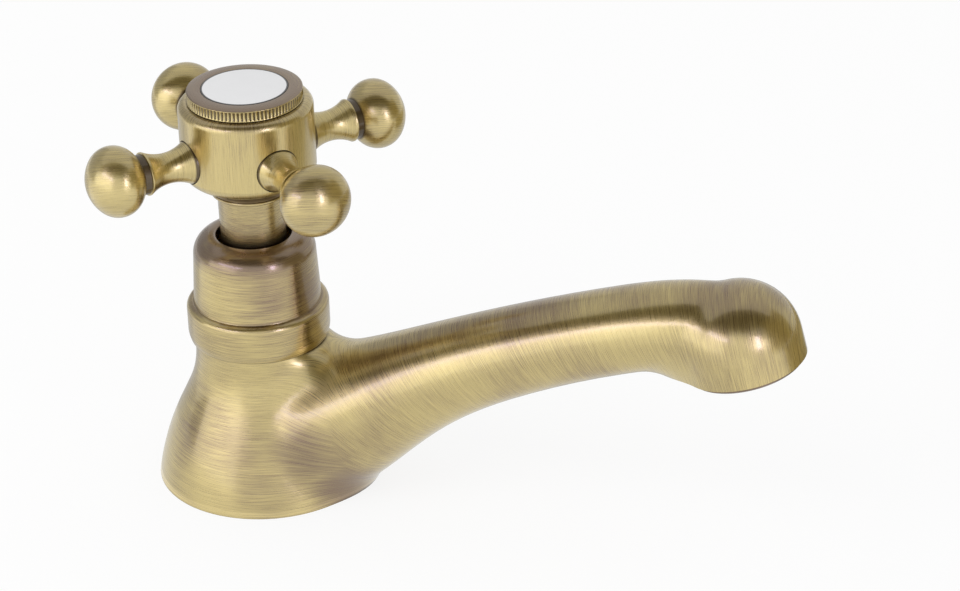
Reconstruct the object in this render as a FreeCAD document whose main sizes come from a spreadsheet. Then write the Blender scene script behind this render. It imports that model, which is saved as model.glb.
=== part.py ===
import FreeCAD, Part
import Sketcher
import math
import os
from FreeCAD import Placement, Rotation, Vector

# Basin pillar tap, millimetres. Origin: centre of the underside of the round base.
# +Z is the axis of the valve and the handle, +X is the way the spout points.

doc = FreeCAD.newDocument("BasinPillarTap")
sheet = doc.addObject("Spreadsheet::Sheet", "Sizes")


class Size:
    """A number together with the sheet expression that gives it."""

    def __init__(self, value, text):
        self.value = value
        self.text = text

    def __add__(self, other):
        return joined(self, other, "+", lambda a, b: a + b)

    def __sub__(self, other):
        return joined(self, other, "-", lambda a, b: a - b)

    def __mul__(self, other):
        return joined(self, other, "*", lambda a, b: a * b)

    def __truediv__(self, other):
        return joined(self, other, "/", lambda a, b: a / b)

    def __radd__(self, other):
        return sized(other) + self

    def __rsub__(self, other):
        return sized(other) - self

    def __rmul__(self, other):
        return sized(other) * self

    def __rtruediv__(self, other):
        return sized(other) / self

    def __neg__(self):
        return sized(0) - self


def sized(number):
    return number if isinstance(number, Size) else Size(float(number), str(float(number)))


def joined(left, right, sign, work):
    left, right = sized(left), sized(right)
    return Size(work(left.value, right.value), "(%s %s %s)" % (left.text, sign, right.text))


def sine(angle):
    return Size(math.sin(math.radians(angle.value)), "sin(%s)" % angle.text)


def cosine(angle):
    return Size(math.cos(math.radians(angle.value)), "cos(%s)" % angle.text)


def tangent(angle):
    return Size(math.tan(math.radians(angle.value)), "tan(%s)" % angle.text)


def root(square):
    return Size(math.sqrt(square.value), "sqrt(%s)" % square.text)


# The driving dimensions: millimetres, degrees where the name ends in angle, and counts
SIZES = {
    # Fits
    "running_gap": 0.06,  # radial clearance of a shaft that turns in its bore
    "thread_gap": 0.05,  # radial clearance between a male and a female thread
    "slip_gap": 0.1,  # radial clearance of a piece that is slipped on
    "thread_lead": 1,  # bevel at the start of a large thread
    "groove_slack": 0.1,  # room for an o-ring in its groove, on each side
    "ring_stand": 0.03,  # how far an o-ring stands proud of its groove
    "edge_bevel": 0.3,  # bevel of a small turned edge
    "hole_spare": 0.5,  # depth of a blind hole beyond its screw
    # Base and neck of the casting
    "base_radius": 25,  # radius of the foot on the basin
    "flare_lean_share": 1.52,  # steepest lean of the flare, against its mean lean
    "foot_lean_share": 0.36,  # lean of the flare at the basin, against its steepest
    "sweep_share": 0.36,  # radius of the flare's concave part, against the convex one
    "neck_ledge": 1.7,  # radius of the neck beyond the spigot
    "neck_land": 2.8,  # straight part of the neck under the seam
    "shoulder_height": 34.9,  # height of the seam between casting and bell cover
    "spigot_wall": 2.6,  # wall of the spigot that the bell cover screws on
    "spigot_height": 3.6,  # height of the spigot above the seam
    # Underside
    "seal_margin": 1.3,  # rim of the foot outside the base seal
    "seal_width": 2.2,  # width of the base seal
    "seal_depth": 1.8,  # depth of the base seal in its groove
    "recess_rim": 1.2,  # rim between the seal's groove and the hollow
    "recess_depth": 6,  # depth of the hollow in the underside
    "boss_setback": 1.5,  # how far the stud's boss stands back from the basin
    "inlet_radius": 4.5,  # inlet thread M10x1, tapping radius
    "inlet_boss_wall": 5,  # wall of the boss round the inlet
    "inlet_depth": 10.5,  # length of the inlet thread
    "orifice_ledge": 0.7,  # ledge between the inlet and the water way to the valve seat
    "stud_offset": 14,  # distance of the fixing stud behind the axis
    "stud_radius": 3.4,  # stud thread M8, tapping radius
    "stud_boss_wall": 1.8,  # wall of the boss round the stud hole
    "stud_depth": 10,  # length of the stud thread
    # Valve chamber
    "seat_height": 13,  # floor of the valve chamber
    "chamber_step": 3.5,  # from that floor to the wide part of the chamber
    "chamber_depth": 13,  # from that floor to the foot of the thread
    "chamber_relief": 1.6,  # radius of the wide part beyond the thread
    "thread_radius": 10.4,  # headwork thread G1/2, outer radius
    # Spout: circles square to its centre line. The heel has its own place, and the others
    # have shares of the way, and of the climb, from the heel to the outlet.
    "heel_reach": 22,  # middle of the heel, distance from the axis
    "heel_drop": 16.7,  # middle of the heel, below the seam
    "heel_radius": 15.9,
    "heel_angle": 34,
    "buried_way_share": -0.176,
    "buried_climb_share": -0.455,
    "buried_radius": 15.6,
    "buried_angle": 34,
    "throat_way_share": 0.099,
    "throat_climb_share": 0.207,
    "throat_radius": 13.5,
    "throat_angle": 31,
    "shank_way_share": 0.22,
    "shank_climb_share": 0.467,
    "shank_radius": 11.5,
    "shank_angle": 27,
    "middle_way_share": 0.44,
    "middle_climb_share": 0.843,
    "middle_radius": 10.1,
    "middle_angle": 21,
    "rise_way_share": 0.682,
    "rise_climb_share": 1.161,
    "rise_radius": 9.7,
    "rise_angle": 14,
    "crest_way_share": 0.814,
    "crest_climb_share": 1.289,
    "crest_radius": 9.7,
    "crest_angle": 9,
    "tip_way_share": 0.946,
    "tip_climb_share": 1.351,
    "tip_radius": 9.3,
    "tip_angle": 3,
    "root_blend": 11.5,  # fillet where the spout leaves the body
    "bulb_blend": 11,  # fillet where the spout meets its bulb
    "water_radius": 6.6,  # water way in the spout
    "water_inlet_radius": 5,  # water way where it leaves the chamber
    "water_inlet_rise": 7.5,  # middle of the water way there, above the valve seat
    "water_inlet_angle": 15.5,  # slope of the water way there
    "water_heel_lift": 3.2,  # water way above the centre line of the heel
    "water_heel_angle": 28,  # slope of the water way there
    "water_end_radius": 6.2,  # water way where it meets the outlet
    "water_end_angle": -5,  # slope of the water way there
    # Outlet: a bulb with its own axis, tipped out from the body
    "outlet_reach": 112.9,  # centre of the outlet, distance from the axis
    "outlet_rise": 7.5,  # centre of the outlet, above the seam
    "outlet_tilt_angle": 14,  # lean of the water jet away from the body
    "outlet_wall": 1.5,  # wall of the bulb round the aerator
    "bulb_rise": 5.4,  # centre of the bulb above the outlet rim
    "aerator_radius": 12,  # aerator thread M24x1, outer radius
    "socket_depth": 7.2,  # depth of the aerator socket
    "washer_land": 3,  # width of the aerator washer's seat
    "dome_land": 4.8,  # ledge of the socket outside the mouth of the water way
    "dome_depth": 3.2,  # height of the cone above the socket
    "aerator_wall": 2.2,  # wall of the aerator housing
    "aerator_lip": 1,  # how far the aerator housing shows under the rim
    "lip_stand": 0.7,  # radius of that lip beyond the thread
    "aerator_washer_thickness": 1.3,  # flat washer above the aerator
    "aerator_ledge": 1.2,  # ledge that holds the insert down
    "insert_wall": 1,  # wall of the insert's cup
    "jet_radius": 0.85,  # one hole of the aerator
    "jet_pitch": 3,  # distance between rings of holes
    "jet_count": 6,  # holes in the inner ring
    "jet_plate": 1.5,  # thickness of the holed plate
    # Bell cover
    "collar_wall": 3.1,  # collar of the bell cover beyond the spigot
    "collar_tuck": 0.5,  # how far the collar draws in at the seam
    "collar_height": 9,  # height of the collar
    "collar_round": 1.5,  # rounding of the collar's upper edge
    "collar_swell": 2,  # height over which the collar swells from its foot
    "collar_bend": 7,  # radius of that swell
    "step_depth": 0.35,  # groove between collar and cone
    "cone_stand": 1.5,  # foot of the cone beyond the spigot
    "cone_taper": 0.7,  # how much the cone narrows to its head
    "bell_length": 25.3,  # from the seam to the top of the bell cover
    "bell_round": 4.2,  # rounding of the bell's shoulder
    "bell_wall": 1.6,  # wall of the bell cover at the cone
    "bell_roof": 2.2,  # roof of the bell cover
    "bell_inner_round": 2,  # rounding under the bell's shoulder
    "bell_relief": 0.6,  # start of the hollow above the spigot
    "cover_ring_wire": 0.6,  # wire radius of the o-ring in the spigot
    "cover_ring_rise": 1.8,  # that o-ring above the seam
    # Headwork
    "cage_setback": 1.4,  # cage that holds the ceramic discs, inside the thread
    "cage_wall": 1.5,  # wall of the cage
    "cage_depth": 10.9,  # from the foot of the cage to the shoulder of the thrust washer
    "window_rise": 5.1,  # foot of the cage windows above the foot of the cage
    "window_height": 4.4,  # height of the cage windows
    "window_width": 9,  # width of the cage windows
    "flange_room": 0.4,  # room between the headwork's flange and the bell cover
    "flange_thickness": 2,  # thickness of that flange
    "gasket_thickness": 0.8,  # gasket under the flange
    "hexagon_inset": 0.83,  # corners of the hexagon, inside the flange
    "hexagon_height": 6,  # height of the hexagon
    "neck_wall": 0.94,  # wall of the headwork's neck round the spindle
    "headwork_stand": 2.8,  # top of the headwork above the bell cover
    "seat_flange": 1.3,  # flange of the seat washer under the cage
    "seat_land": 1.7,  # width of the seat washer's spigot
    "seat_spigot": 1.7,  # height of that spigot in the cage
    "disc_gap": 0.4,  # radial room of the turning disc in the cage
    "disc_thickness": 2.6,  # thickness of a ceramic disc
    "port_inner_radius": 1.6,  # inner radius of a water port
    "port_land": 1.5,  # rim of the disc outside the water ports
    "port_half_angle": 38,  # half of the angle of a water port
    "lug_width": 3,  # key lug of the fixed disc
    # Spindle
    "spindle_radius": 5,  # spindle in the headwork
    "spindle_flange_height": 2,  # thickness of the spindle's flange
    "thrust_thickness": 1,  # thickness of the thrust washer
    "tongue_width": 3.6,  # tongue that turns the disc
    "tongue_length": 9,  # length of the tongue
    "tongue_depth": 1.3,  # depth of the tongue in the disc
    "ring_wire_radius": 0.75,  # wire radius of the spindle o-rings
    "lower_ring_rise": 5.8,  # lower spindle o-ring above the thrust washer
    "ring_spacing": 5,  # from the lower to the upper spindle o-ring
    "circlip_thickness": 1,  # thickness of the circlip
    "circlip_rim": 0.7,  # radius of the circlip beyond the spindle
    "circlip_groove": 0.9,  # depth of the circlip's groove
    "circlip_mouth": 3.2,  # opening of the circlip
    "journal_end": 1.5,  # journal above the circlip
    "spline_radius": 4,  # spline of the spindle, over the teeth
    "spline_depth": 0.6,  # depth of the spline's teeth
    "spline_count": 20,  # teeth of the spline
    "spline_start": 1,  # foot of the spline above the drum's underside
    "groove_share": 0.99,  # share of the pitch that the groove beside a tooth takes
    # Handle
    "handle_stand": 14,  # underside of the drum above the bell cover
    "hub_radius": 15,  # drum of the handle
    "drum_height": 18.7,  # height of the drum
    "foot_tuck": 3,  # flat underside of the drum, inside its radius
    "hub_foot_rise": 2.8,  # height of the drum's lower edge
    "hub_foot_round": 4.2,  # radius of that edge
    "hub_round": 1.9,  # rounding of the drum's upper edge
    "drum_wall": 4,  # wall of the drum round the well, thread M22x1
    "hub_well_depth": 4.6,  # depth of that well
    "web_drop": 4.6,  # top of the spindle below the floor of the well
    "web_thickness": 2,  # web that the handle screw clamps
    "rest_angle": 47,  # angle of the first arm from the spout, valve closed
    "arm_rise": 7,  # height of the arms above the drum's underside
    "arm_inset": 1,  # depth of the arm's seat in the drum
    "arm_root_radius": 4.9,  # arm at the drum
    "arm_rim": 0.7,  # straight rim of the arm at the drum
    "arm_waist": 1.45,  # how far the arm is drawn in between drum and collar
    "arm_collar_radius": 4.85,  # sharp collar behind the ball
    "collar_reach": 7.05,  # inner edge of that collar, from the centre of the ball
    "arm_collar_width": 0.25,  # width of that collar
    "arm_collar_bevel": 0.1,  # bevel from the collar to the groove
    "arm_groove_depth": 0.35,  # groove between collar and ball
    "arm_thread_radius": 3,  # threaded root of the arm, M6
    "arm_thread_length": 6,  # length of that root in the drum
    "ball_centre": 32,  # centre of the ball, from the axis
    "ball_radius": 7.95,  # radius of the ball
    "ball_flattening": 1.45,  # how much shorter the ball is along the arm, at each end
    "ball_side_share": 0.846,  # radius of the ball's side, against its half length
    "sleeve_gap": 0.5,  # room between the headwork's neck and the sleeve
    "sleeve_wall": 1,  # wall of the sleeve under the drum
    "sleeve_reveal": 1,  # gap that shows round the sleeve in the bell cover
    "sleeve_overlap": 2.7,  # length of the sleeve inside the bell cover
    "sleeve_insertion": 3.5,  # length of the sleeve in the drum
    "sleeve_cone_height": 3.4,  # cone under the drum
    "cone_ledge": 0.6,  # flat underside of the drum outside that cone
    "bead_stand": 1.4,  # bead at the foot of the cone, beyond the sleeve
    "sleeve_bead_height": 0.6,  # height of that bead
    "sleeve_bead_bend": 0.4,  # radius of the bead's edge
    "sleeve_bead_drop": 0.15,  # bevel between bead and cone
    "sleeve_bead_lead": 0.5,  # slope under the bead
    "sleeve_taper": 0.15,  # how much the sleeve narrows to its lower end
    "bush_wall": 1.6,  # plastic bush round the spline
    "screw_radius": 2.5,  # handle screw, M5
    "screw_length": 12,  # length of its shank
    "screw_head_radius": 4.2,  # head of the handle screw
    "screw_head_height": 2.7,  # height of that head
    "screw_slot_width": 1.1,  # slot of the handle screw
    "screw_slot_depth": 1.2,  # depth of that slot
    "screw_washer_rim": 0.6,  # washer beyond the head
    "screw_washer_thickness": 0.8,  # thickness of that washer
    # Index
    "index_setback": 2.2,  # knurled ring inside the drum's radius
    "index_height": 2.35,  # height of the knurled band
    "index_gap": 0.15,  # joint between ring and drum
    "index_crown": 0.3,  # rise of the ring's top towards the disc
    "index_edge_rise": 0.1,  # height of the ring's upper bevel
    "index_spigot_length": 4,  # threaded spigot of the ring
    "index_spigot_wall": 3.4,  # wall of that spigot
    "index_ring_wire": 0.55,  # wire radius of the o-ring in the spigot
    "index_ring_drop": 1,  # centre of that o-ring below the knurled ring
    "knurl_count": 96,  # teeth of the knurled band
    "knurl_depth": 0.3,  # depth of the teeth
    "knurl_margin": 0.15,  # plain edge above and below the teeth
    "index_rim": 3.2,  # top of the ring round the disc
    "disc_edge": 1.5,  # thickness of the white disc at its edge
    "disc_dome": 0.25,  # rise of the disc's middle
}


class Sizes:
    """The driving dimensions: one row of the sheet each, read back as s.name."""

    def __init__(self, table):
        self.rows = {}
        for row, (name, value) in enumerate(table.items(), 1):
            sheet.set("A%d" % row, name)
            sheet.set("B%d" % row, str(value))
            sheet.setAlias("B%d" % row, name)
            self.rows[name] = Size(float(value), "Sizes." + name)

    def __getattr__(self, name):
        return self.rows[name]


s = Sizes(SIZES)
doc.recompute()


def bind(thing, prop, size):
    """Set a property from a size and keep it tied to the sheet."""
    size = sized(size)
    head = prop.split(".")[0]
    if head == prop:
        setattr(thing, prop, size.value)
    thing.setExpression(prop, size.text)


def plane(body, role):
    return next(part for part in body.Origin.OriginFeatures if part.Role == role)


def new_body(label):
    body = doc.addObject("PartDesign::Body", label)
    body.Label = label
    return body


class Outline:
    """A closed, fully constrained sketch drawn point by point."""

    def __init__(self, body, name, role="XZ_Plane"):
        self.sketch = body.newObject("Sketcher::SketchObject", name)
        self.sketch.AttachmentSupport = [(plane(body, role), "")]
        self.sketch.MapMode = "FlatFace"
        self.points = []
        self.bends = []

    def shift(self, x=0, y=0, z=0, axis=Vector(0, 0, 1), angle=0):
        """Move and tilt the sketch away from its plane."""
        x, y, z, angle = sized(x), sized(y), sized(z), sized(angle)
        place = Placement(Vector(x.value, y.value, z.value), Rotation(axis, angle.value))
        self.sketch.AttachmentOffset = place
        for prop, size in (("x", x), ("y", y), ("z", z)):
            self.sketch.setExpression("AttachmentOffset.Base." + prop, size.text)
        if angle.text != "0.0":
            self.sketch.setExpression("AttachmentOffset.Rotation.Angle", angle.text)
        return self

    def to(self, x, y, bend=None):
        """Next corner. bend is the radius of the arc that leads to it, plus to the left."""
        self.points.append((sized(x), sized(y)))
        self.bends.append(bend)
        return self

    def circle(self, x, y, radius):
        x, y, radius = sized(x), sized(y), sized(radius)
        disc = Part.Circle(Vector(x.value, y.value, 0), Vector(0, 0, 1), radius.value)
        number = self.sketch.addGeometry(disc, False)
        self.pin(number, 3, x, y)
        self.limit(Sketcher.Constraint("Radius", number, radius.value), radius)
        return self

    def limit(self, constraint, size):
        number = self.sketch.addConstraint(constraint)
        self.sketch.setExpression("Constraints[%d]" % number, size.text)

    def pin(self, number, position, x, y):
        """Hold a point at its distances from the sketch's two axes."""
        for size, kind, axis in ((x, "DistanceX", -2), (y, "DistanceY", -1)):
            if size.text == "0.0":
                self.sketch.addConstraint(Sketcher.Constraint("PointOnObject", number, position, axis))
            else:
                self.limit(Sketcher.Constraint(kind, -1, 1, number, position, size.value), size)

    def arc_between(self, start, end, radius):
        """Arc of at most half a turn, to the left of its chord when radius is above zero."""
        chord = end - start
        reach = math.sqrt(max(radius * radius - chord.Length ** 2 / 4, 0))
        side = Vector(-chord.y, chord.x, 0).normalize() * math.copysign(reach, radius)
        centre = (start + end) / 2 + side
        circle = Part.Circle(centre, Vector(0, 0, 1), abs(radius))
        first, last = (start, end) if radius > 0 else (end, start)
        angles = [math.atan2(p.y - centre.y, p.x - centre.x) for p in (first, last)]
        return Part.ArcOfCircle(circle, angles[0], angles[1])

    def close(self):
        """Draw the edges and tie every corner to the sheet."""
        count = len(self.points)
        flat = [Vector(x.value, y.value, 0) for x, y in self.points]
        ends = []
        for i in range(count):
            start, end = flat[i], flat[(i + 1) % count]
            bend = self.bends[(i + 1) % count]
            if bend is None:
                number = self.sketch.addGeometry(Part.LineSegment(start, end), False)
                ends.append((number, 1, 2))
                continue
            bend = sized(bend)
            number = self.sketch.addGeometry(self.arc_between(start, end, bend.value), False)
            ends.append((number, 1, 2) if bend.value > 0 else (number, 2, 1))
        for i in range(count):
            last, first = ends[i - 1], ends[i]
            self.sketch.addConstraint(Sketcher.Constraint("Coincident", last[0], last[2], first[0], first[1]))
            self.pin(first[0], first[1], *self.points[i])
        for i in range(count):
            bend = self.bends[(i + 1) % count]
            if bend is not None:
                bend = sized(bend)
                radius = bend if bend.value > 0 else -bend
                self.limit(Sketcher.Constraint("Radius", ends[i][0], radius.value), radius)
        return self.sketch


def feature(body, kind, name, profile):
    """Add a PartDesign feature, and give it back with the volume before it."""
    before = body.Shape.Volume if body.Tip else 0
    step = body.newObject("PartDesign::" + kind, name)
    step.Profile = profile
    return step, before


def done(body, step, before, grows):
    """Make sure that a feature has added or cut material."""
    doc.recompute()
    after = step.Shape.Volume
    if (after > before) != grows:
        raise ValueError("%s of %s changed nothing" % (step.Name, body.Label))
    return step


def turned(body, name, sketch, axis="V_Axis"):
    step, before = feature(body, "Revolution", name, sketch)
    step.ReferenceAxis = (sketch, [axis])
    step.Angle = 360
    return done(body, step, before, True)


def grooved(body, name, sketch, axis="V_Axis"):
    step, before = feature(body, "Groove", name, sketch)
    step.ReferenceAxis = (sketch, [axis])
    step.Angle = 360
    return done(body, step, before, False)


def padded(body, name, sketch, length):
    step, before = feature(body, "Pad", name, sketch)
    bind(step, "Length", length)
    return done(body, step, before, True)


def pocketed(body, name, sketch, length, along_normal=False):
    """Cut to a depth, against the sketch's normal unless along_normal is set."""
    step, before = feature(body, "Pocket", name, sketch)
    bind(step, "Length", length)
    step.Reversed = along_normal
    return done(body, step, before, False)


def repeated(body, name, steps, count):
    """Repeat features round the Z axis."""
    pattern = body.newObject("PartDesign::PolarPattern", name)
    pattern.Originals = steps
    pattern.Axis = (plane(body, "Z_Axis"), [""])
    pattern.Angle = 360
    pattern.Occurrences = int(sized(count).value)
    pattern.setExpression("Occurrences", sized(count).text)
    body.Tip = pattern
    doc.recompute()
    return pattern


def filleted(body, name, radius, chosen):
    """Round the edges of the last feature for which chosen(edge, faces) is true."""
    base = body.Tip
    names = []
    for i, edge in enumerate(base.Shape.Edges, 1):
        faces = [face for face in base.Shape.Faces if any(edge.isSame(e) for e in face.Edges)]
        if len(faces) == 2 and chosen(edge, faces):
            names.append("Edge%d" % i)
    step = body.newObject("PartDesign::Fillet", name)
    step.Base = (base, names)
    bind(step, "Radius", radius)
    doc.recompute()
    return step


def block(outline, left, low, right, high):
    return outline.to(left, low).to(right, low).to(right, high).to(left, high).close()


def ring(label, inner, outer, low, high):
    """A plain turned ring."""
    body = new_body(label)
    turned(body, label + "_turned", block(Outline(body, label + "_section"), inner, low, outer, high))
    return body


def o_ring(label, radius, wire, height):
    torus = doc.addObject("Part::Torus", label)
    torus.Label = label
    bind(torus, "Radius1", radius)
    bind(torus, "Radius2", wire)
    torus.Placement.Base = Vector(0, 0, sized(height).value)
    torus.setExpression("Placement.Base.z", sized(height).text)
    return torus


def at_outlet(body):
    """Stand a body on the outlet: its Z is the axis of the bulb, its origin the rim's centre."""
    tip = Rotation(Vector(0, -1, 0), s.outlet_tilt_angle.value)
    body.Placement = Placement(Vector(s.outlet_reach.value, 0, outlet_height.value), tip)
    body.setExpression("Placement.Base.x", s.outlet_reach.text)
    body.setExpression("Placement.Base.z", outlet_height.text)
    body.setExpression("Placement.Rotation.Angle", s.outlet_tilt_angle.text)


# Radii that several pieces share, from the valve outwards
spigot_radius = s.thread_radius + s.spigot_wall
neck_radius = spigot_radius + s.neck_ledge
collar_radius = spigot_radius + s.collar_wall
collar_foot_radius = collar_radius - s.collar_tuck
cone_foot_radius = spigot_radius + s.cone_stand
cone_head_radius = cone_foot_radius - s.cone_taper
bell_inside = cone_head_radius - s.bell_wall
flange_radius = bell_inside - s.flange_room
cage_radius = s.thread_radius - s.cage_setback
cage_bore = cage_radius - s.cage_wall
disc_radius = cage_bore - s.disc_gap
port_outer_radius = disc_radius - s.port_land
headwork_neck_radius = s.spindle_radius + s.running_gap + s.neck_wall
sleeve_bore = headwork_neck_radius + s.sleeve_gap
sleeve_radius = sleeve_bore + s.sleeve_wall
bell_hole_radius = sleeve_radius + s.sleeve_reveal
bush_radius = s.spline_radius + s.bush_wall
screw_washer_radius = s.screw_head_radius + s.screw_washer_rim
hub_foot_radius = s.hub_radius - s.foot_tuck
hub_well_radius = s.hub_radius - s.drum_wall
index_radius = s.hub_radius - s.index_setback
disc_face_radius = index_radius - s.index_rim
arm_seat = s.hub_radius - s.arm_inset
bulb_radius = s.aerator_radius + s.outlet_wall
aerator_bore = s.aerator_radius - s.aerator_wall
seal_inner_radius = s.base_radius - s.seal_margin - s.seal_width
inlet_boss_radius = s.inlet_radius + s.inlet_boss_wall

# Heights that several pieces share, from the basin upwards
cage_foot = s.seat_height + s.seat_flange
fixed_disc_foot = cage_foot + s.seat_spigot
turning_disc_foot = fixed_disc_foot + s.disc_thickness
turning_disc_head = turning_disc_foot + s.disc_thickness
cage_roof = cage_foot + s.cage_depth
spindle_flange_head = cage_roof - s.thrust_thickness
spindle_flange_foot = spindle_flange_head - s.spindle_flange_height
chamber_top = s.seat_height + s.chamber_depth
lower_ring_height = cage_roof + s.lower_ring_rise
upper_ring_height = lower_ring_height + s.ring_spacing
cover_ring_height = s.shoulder_height + s.cover_ring_rise
body_top = s.shoulder_height + s.spigot_height
flange_foot = body_top + s.gasket_thickness
hexagon_foot = flange_foot + s.flange_thickness
collar_head = s.shoulder_height + s.collar_height
bell_top = s.shoulder_height + s.bell_length
headwork_top = bell_top + s.headwork_stand
clip_groove_foot = headwork_top + s.slip_gap
clip_foot = clip_groove_foot + s.slip_gap / 2
hub_foot = bell_top + s.handle_stand
sleeve_head = hub_foot + s.sleeve_insertion
arm_height = hub_foot + s.arm_rise
hub_top = hub_foot + s.drum_height
hub_well_floor = hub_top - s.hub_well_depth
spindle_top = hub_well_floor - s.web_drop
web_head = spindle_top + s.web_thickness
screw_seat = web_head + s.screw_washer_thickness
index_foot = hub_top + s.index_gap
index_head = index_foot + s.index_height
index_floor = index_head + s.index_crown - s.disc_edge
aerator_top = s.socket_depth - s.aerator_washer_thickness
aerator_shelf = aerator_top - s.aerator_ledge

# Reach and height of the middle of each spout section, in order
heel_height = s.shoulder_height - s.heel_drop
outlet_height = s.shoulder_height + s.outlet_rise
MIDDLES = {}
for station in ("buried", "heel", "throat", "shank", "middle", "rise", "crest", "tip"):
    if station == "heel":
        MIDDLES[station] = (s.heel_reach, heel_height)
        continue
    way = s.rows[station + "_way_share"] * (s.outlet_reach - s.heel_reach)
    climb = s.rows[station + "_climb_share"] * (outlet_height - heel_height)
    MIDDLES[station] = (s.heel_reach + way, heel_height + climb)

ARMS = ("front_left", "rear_left", "rear_right", "front_right")

def seated_ring(label, shaft, wire, height):
    """O-ring in the groove of a shaft or spigot."""
    o_ring(label, shaft - wire + s.ring_stand, wire, height)


def ring_groove(drawn, shaft, wire, height):
    """Four corners of an o-ring's groove, from its foot to its head."""
    low = height - wire - s.groove_slack
    high = height + wire + s.groove_slack
    floor = shaft - 2 * wire
    return drawn.to(shaft, low).to(floor, low).to(floor, high).to(shaft, high)


def flare_outline(body):
    """Half section of foot and neck: bulge, straight lean and concave sweep, all tangent.

    The steepest lean follows from the height and the width of the flare. The two radii keep
    their ratio, and the straight part between them takes up what height is left. The bulge
    runs on below the basin, where it is cut off once the spout is blended.
    """
    high = s.shoulder_height - s.neck_land
    wide = s.base_radius - neck_radius
    steep = s.flare_lean_share * wide / high
    foot = s.foot_lean_share * steep
    steep_cosine, foot_cosine = 1 / root(1 + steep * steep), 1 / root(1 + foot * foot)
    steep_sine, foot_sine = steep * steep_cosine, foot * foot_cosine
    arcs_high = steep_sine - foot_sine + s.sweep_share * steep_sine
    arcs_wide = foot_cosine - steep_cosine + s.sweep_share * (1 - steep_cosine)
    bulge = (steep * high - wide) / (steep * arcs_high - arcs_wide)
    sweep = s.sweep_share * bulge
    drawn = Outline(body, "flare_section").to(0, -bulge * foot_sine)
    drawn.to(s.base_radius + bulge * (1 - foot_cosine), -bulge * foot_sine)
    drawn.to(s.base_radius - bulge * (foot_cosine - steep_cosine), bulge * (steep_sine - foot_sine), bulge)
    drawn.to(neck_radius + sweep * (1 - steep_cosine), high - sweep * steep_sine)
    drawn.to(neck_radius, high, -sweep).to(neck_radius, s.shoulder_height)
    drawn.to(spigot_radius, s.shoulder_height)
    ring_groove(drawn, spigot_radius, s.cover_ring_wire, cover_ring_height)
    return drawn.to(spigot_radius, body_top).to(0, body_top).close()


def section(body, name, reach, height, slope, radius):
    """Circle square to the spout's centre line."""
    drawn = Outline(body, name, "YZ_Plane")
    drawn.shift(0, height, reach, Vector(1, 0, 0), -slope)
    return drawn.circle(0, 0, radius).sketch


def spout_section(body, prefix, station, radius):
    reach, height = MIDDLES[station]
    return section(body, prefix + station, reach, height, s.rows[station + "_angle"], radius)


def lofted(body, kind, name, sections, grows):
    doc.recompute()
    step, before = feature(body, kind, name, sections[0])
    step.Sections = sections[1:]
    return done(body, step, before, grows)


def is_spline(face):
    return "BSpline" in type(face.Surface).__name__


def spout_to_body(edge, faces):
    return is_spline(faces[0]) != is_spline(faces[1]) and edge.BoundBox.XMax < MIDDLES["throat"][0].value


def spout_to_bulb(edge, faces):
    return is_spline(faces[0]) != is_spline(faces[1]) and edge.BoundBox.XMin > MIDDLES["crest"][0].value


def body_casting():
    """Foot, neck and spout, cast in one and hollow from the inlet to the aerator."""
    body = new_body("body_casting")
    turned(body, "flare", flare_outline(body))
    outer = [spout_section(body, "spout_", name, s.rows[name + "_radius"]) for name in MIDDLES]
    lofted(body, "AdditiveLoft", "spout", outer, True)
    filleted(body, "spout_root", s.root_blend, spout_to_body)
    side = s.base_radius * 2
    floor = block(Outline(body, "basin_plane", "XY_Plane"), -side, -side, s.outlet_reach, side)
    pocketed(body, "flat_foot", floor, side)
    # The bulb starts as a longer post, so that its blend runs out on the trimmed rim.
    post = s.bulb_blend
    bulb = on_outlet(body, "bulb_section")
    bulb.to(0, -post).to(bulb_radius, -post).to(bulb_radius, s.bulb_rise)
    turned(body, "bulb", bulb.to(0, s.bulb_rise + bulb_radius, bulb_radius).close())
    filleted(body, "bulb_root", s.bulb_blend, spout_to_bulb)
    trim = block(on_outlet(body, "rim_plane"), 0, -post * 2, bulb_radius + post, 0)
    grooved(body, "outlet_face", trim)
    underside(body)
    valve_chamber(body)
    water_way(body)


def on_outlet(body, name):
    """Sketch whose vertical is the axis of the bulb and whose origin is the rim's centre."""
    return Outline(body, name).shift(s.outlet_reach, outlet_height, 0, angle=s.outlet_tilt_angle)


def underside(body):
    """Hollow foot with the inlet's boss, the stud's boss and the seal's groove."""
    hollow = Outline(body, "hollow_circles", "XY_Plane").circle(0, 0, seal_inner_radius - s.recess_rim)
    hollow.circle(0, 0, inlet_boss_radius)
    pocketed(body, "hollow", hollow.sketch, s.recess_depth, True)
    boss = Outline(body, "stud_boss_circle", "XY_Plane").shift(z=s.boss_setback)
    boss.circle(-s.stud_offset, 0, s.stud_radius + s.stud_boss_wall)
    padded(body, "stud_boss", boss.sketch, s.recess_depth - s.boss_setback)
    stud = Outline(body, "stud_circle", "XY_Plane").shift(z=s.boss_setback)
    pocketed(body, "stud_hole", stud.circle(-s.stud_offset, 0, s.stud_radius).sketch, s.stud_depth, True)
    inlet = Outline(body, "inlet_circle", "XY_Plane").circle(0, 0, s.inlet_radius).sketch
    pocketed(body, "inlet", inlet, s.inlet_depth, True)
    orifice = Outline(body, "orifice_circle", "XY_Plane").circle(0, 0, s.inlet_radius - s.orifice_ledge)
    pocketed(body, "orifice", orifice.sketch, s.seat_height, True)
    seal = Outline(body, "seal_circles", "XY_Plane").circle(0, 0, seal_inner_radius)
    seal.circle(0, 0, seal_inner_radius + s.seal_width)
    pocketed(body, "seal_groove", seal.sketch, s.seal_depth, True)


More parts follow.
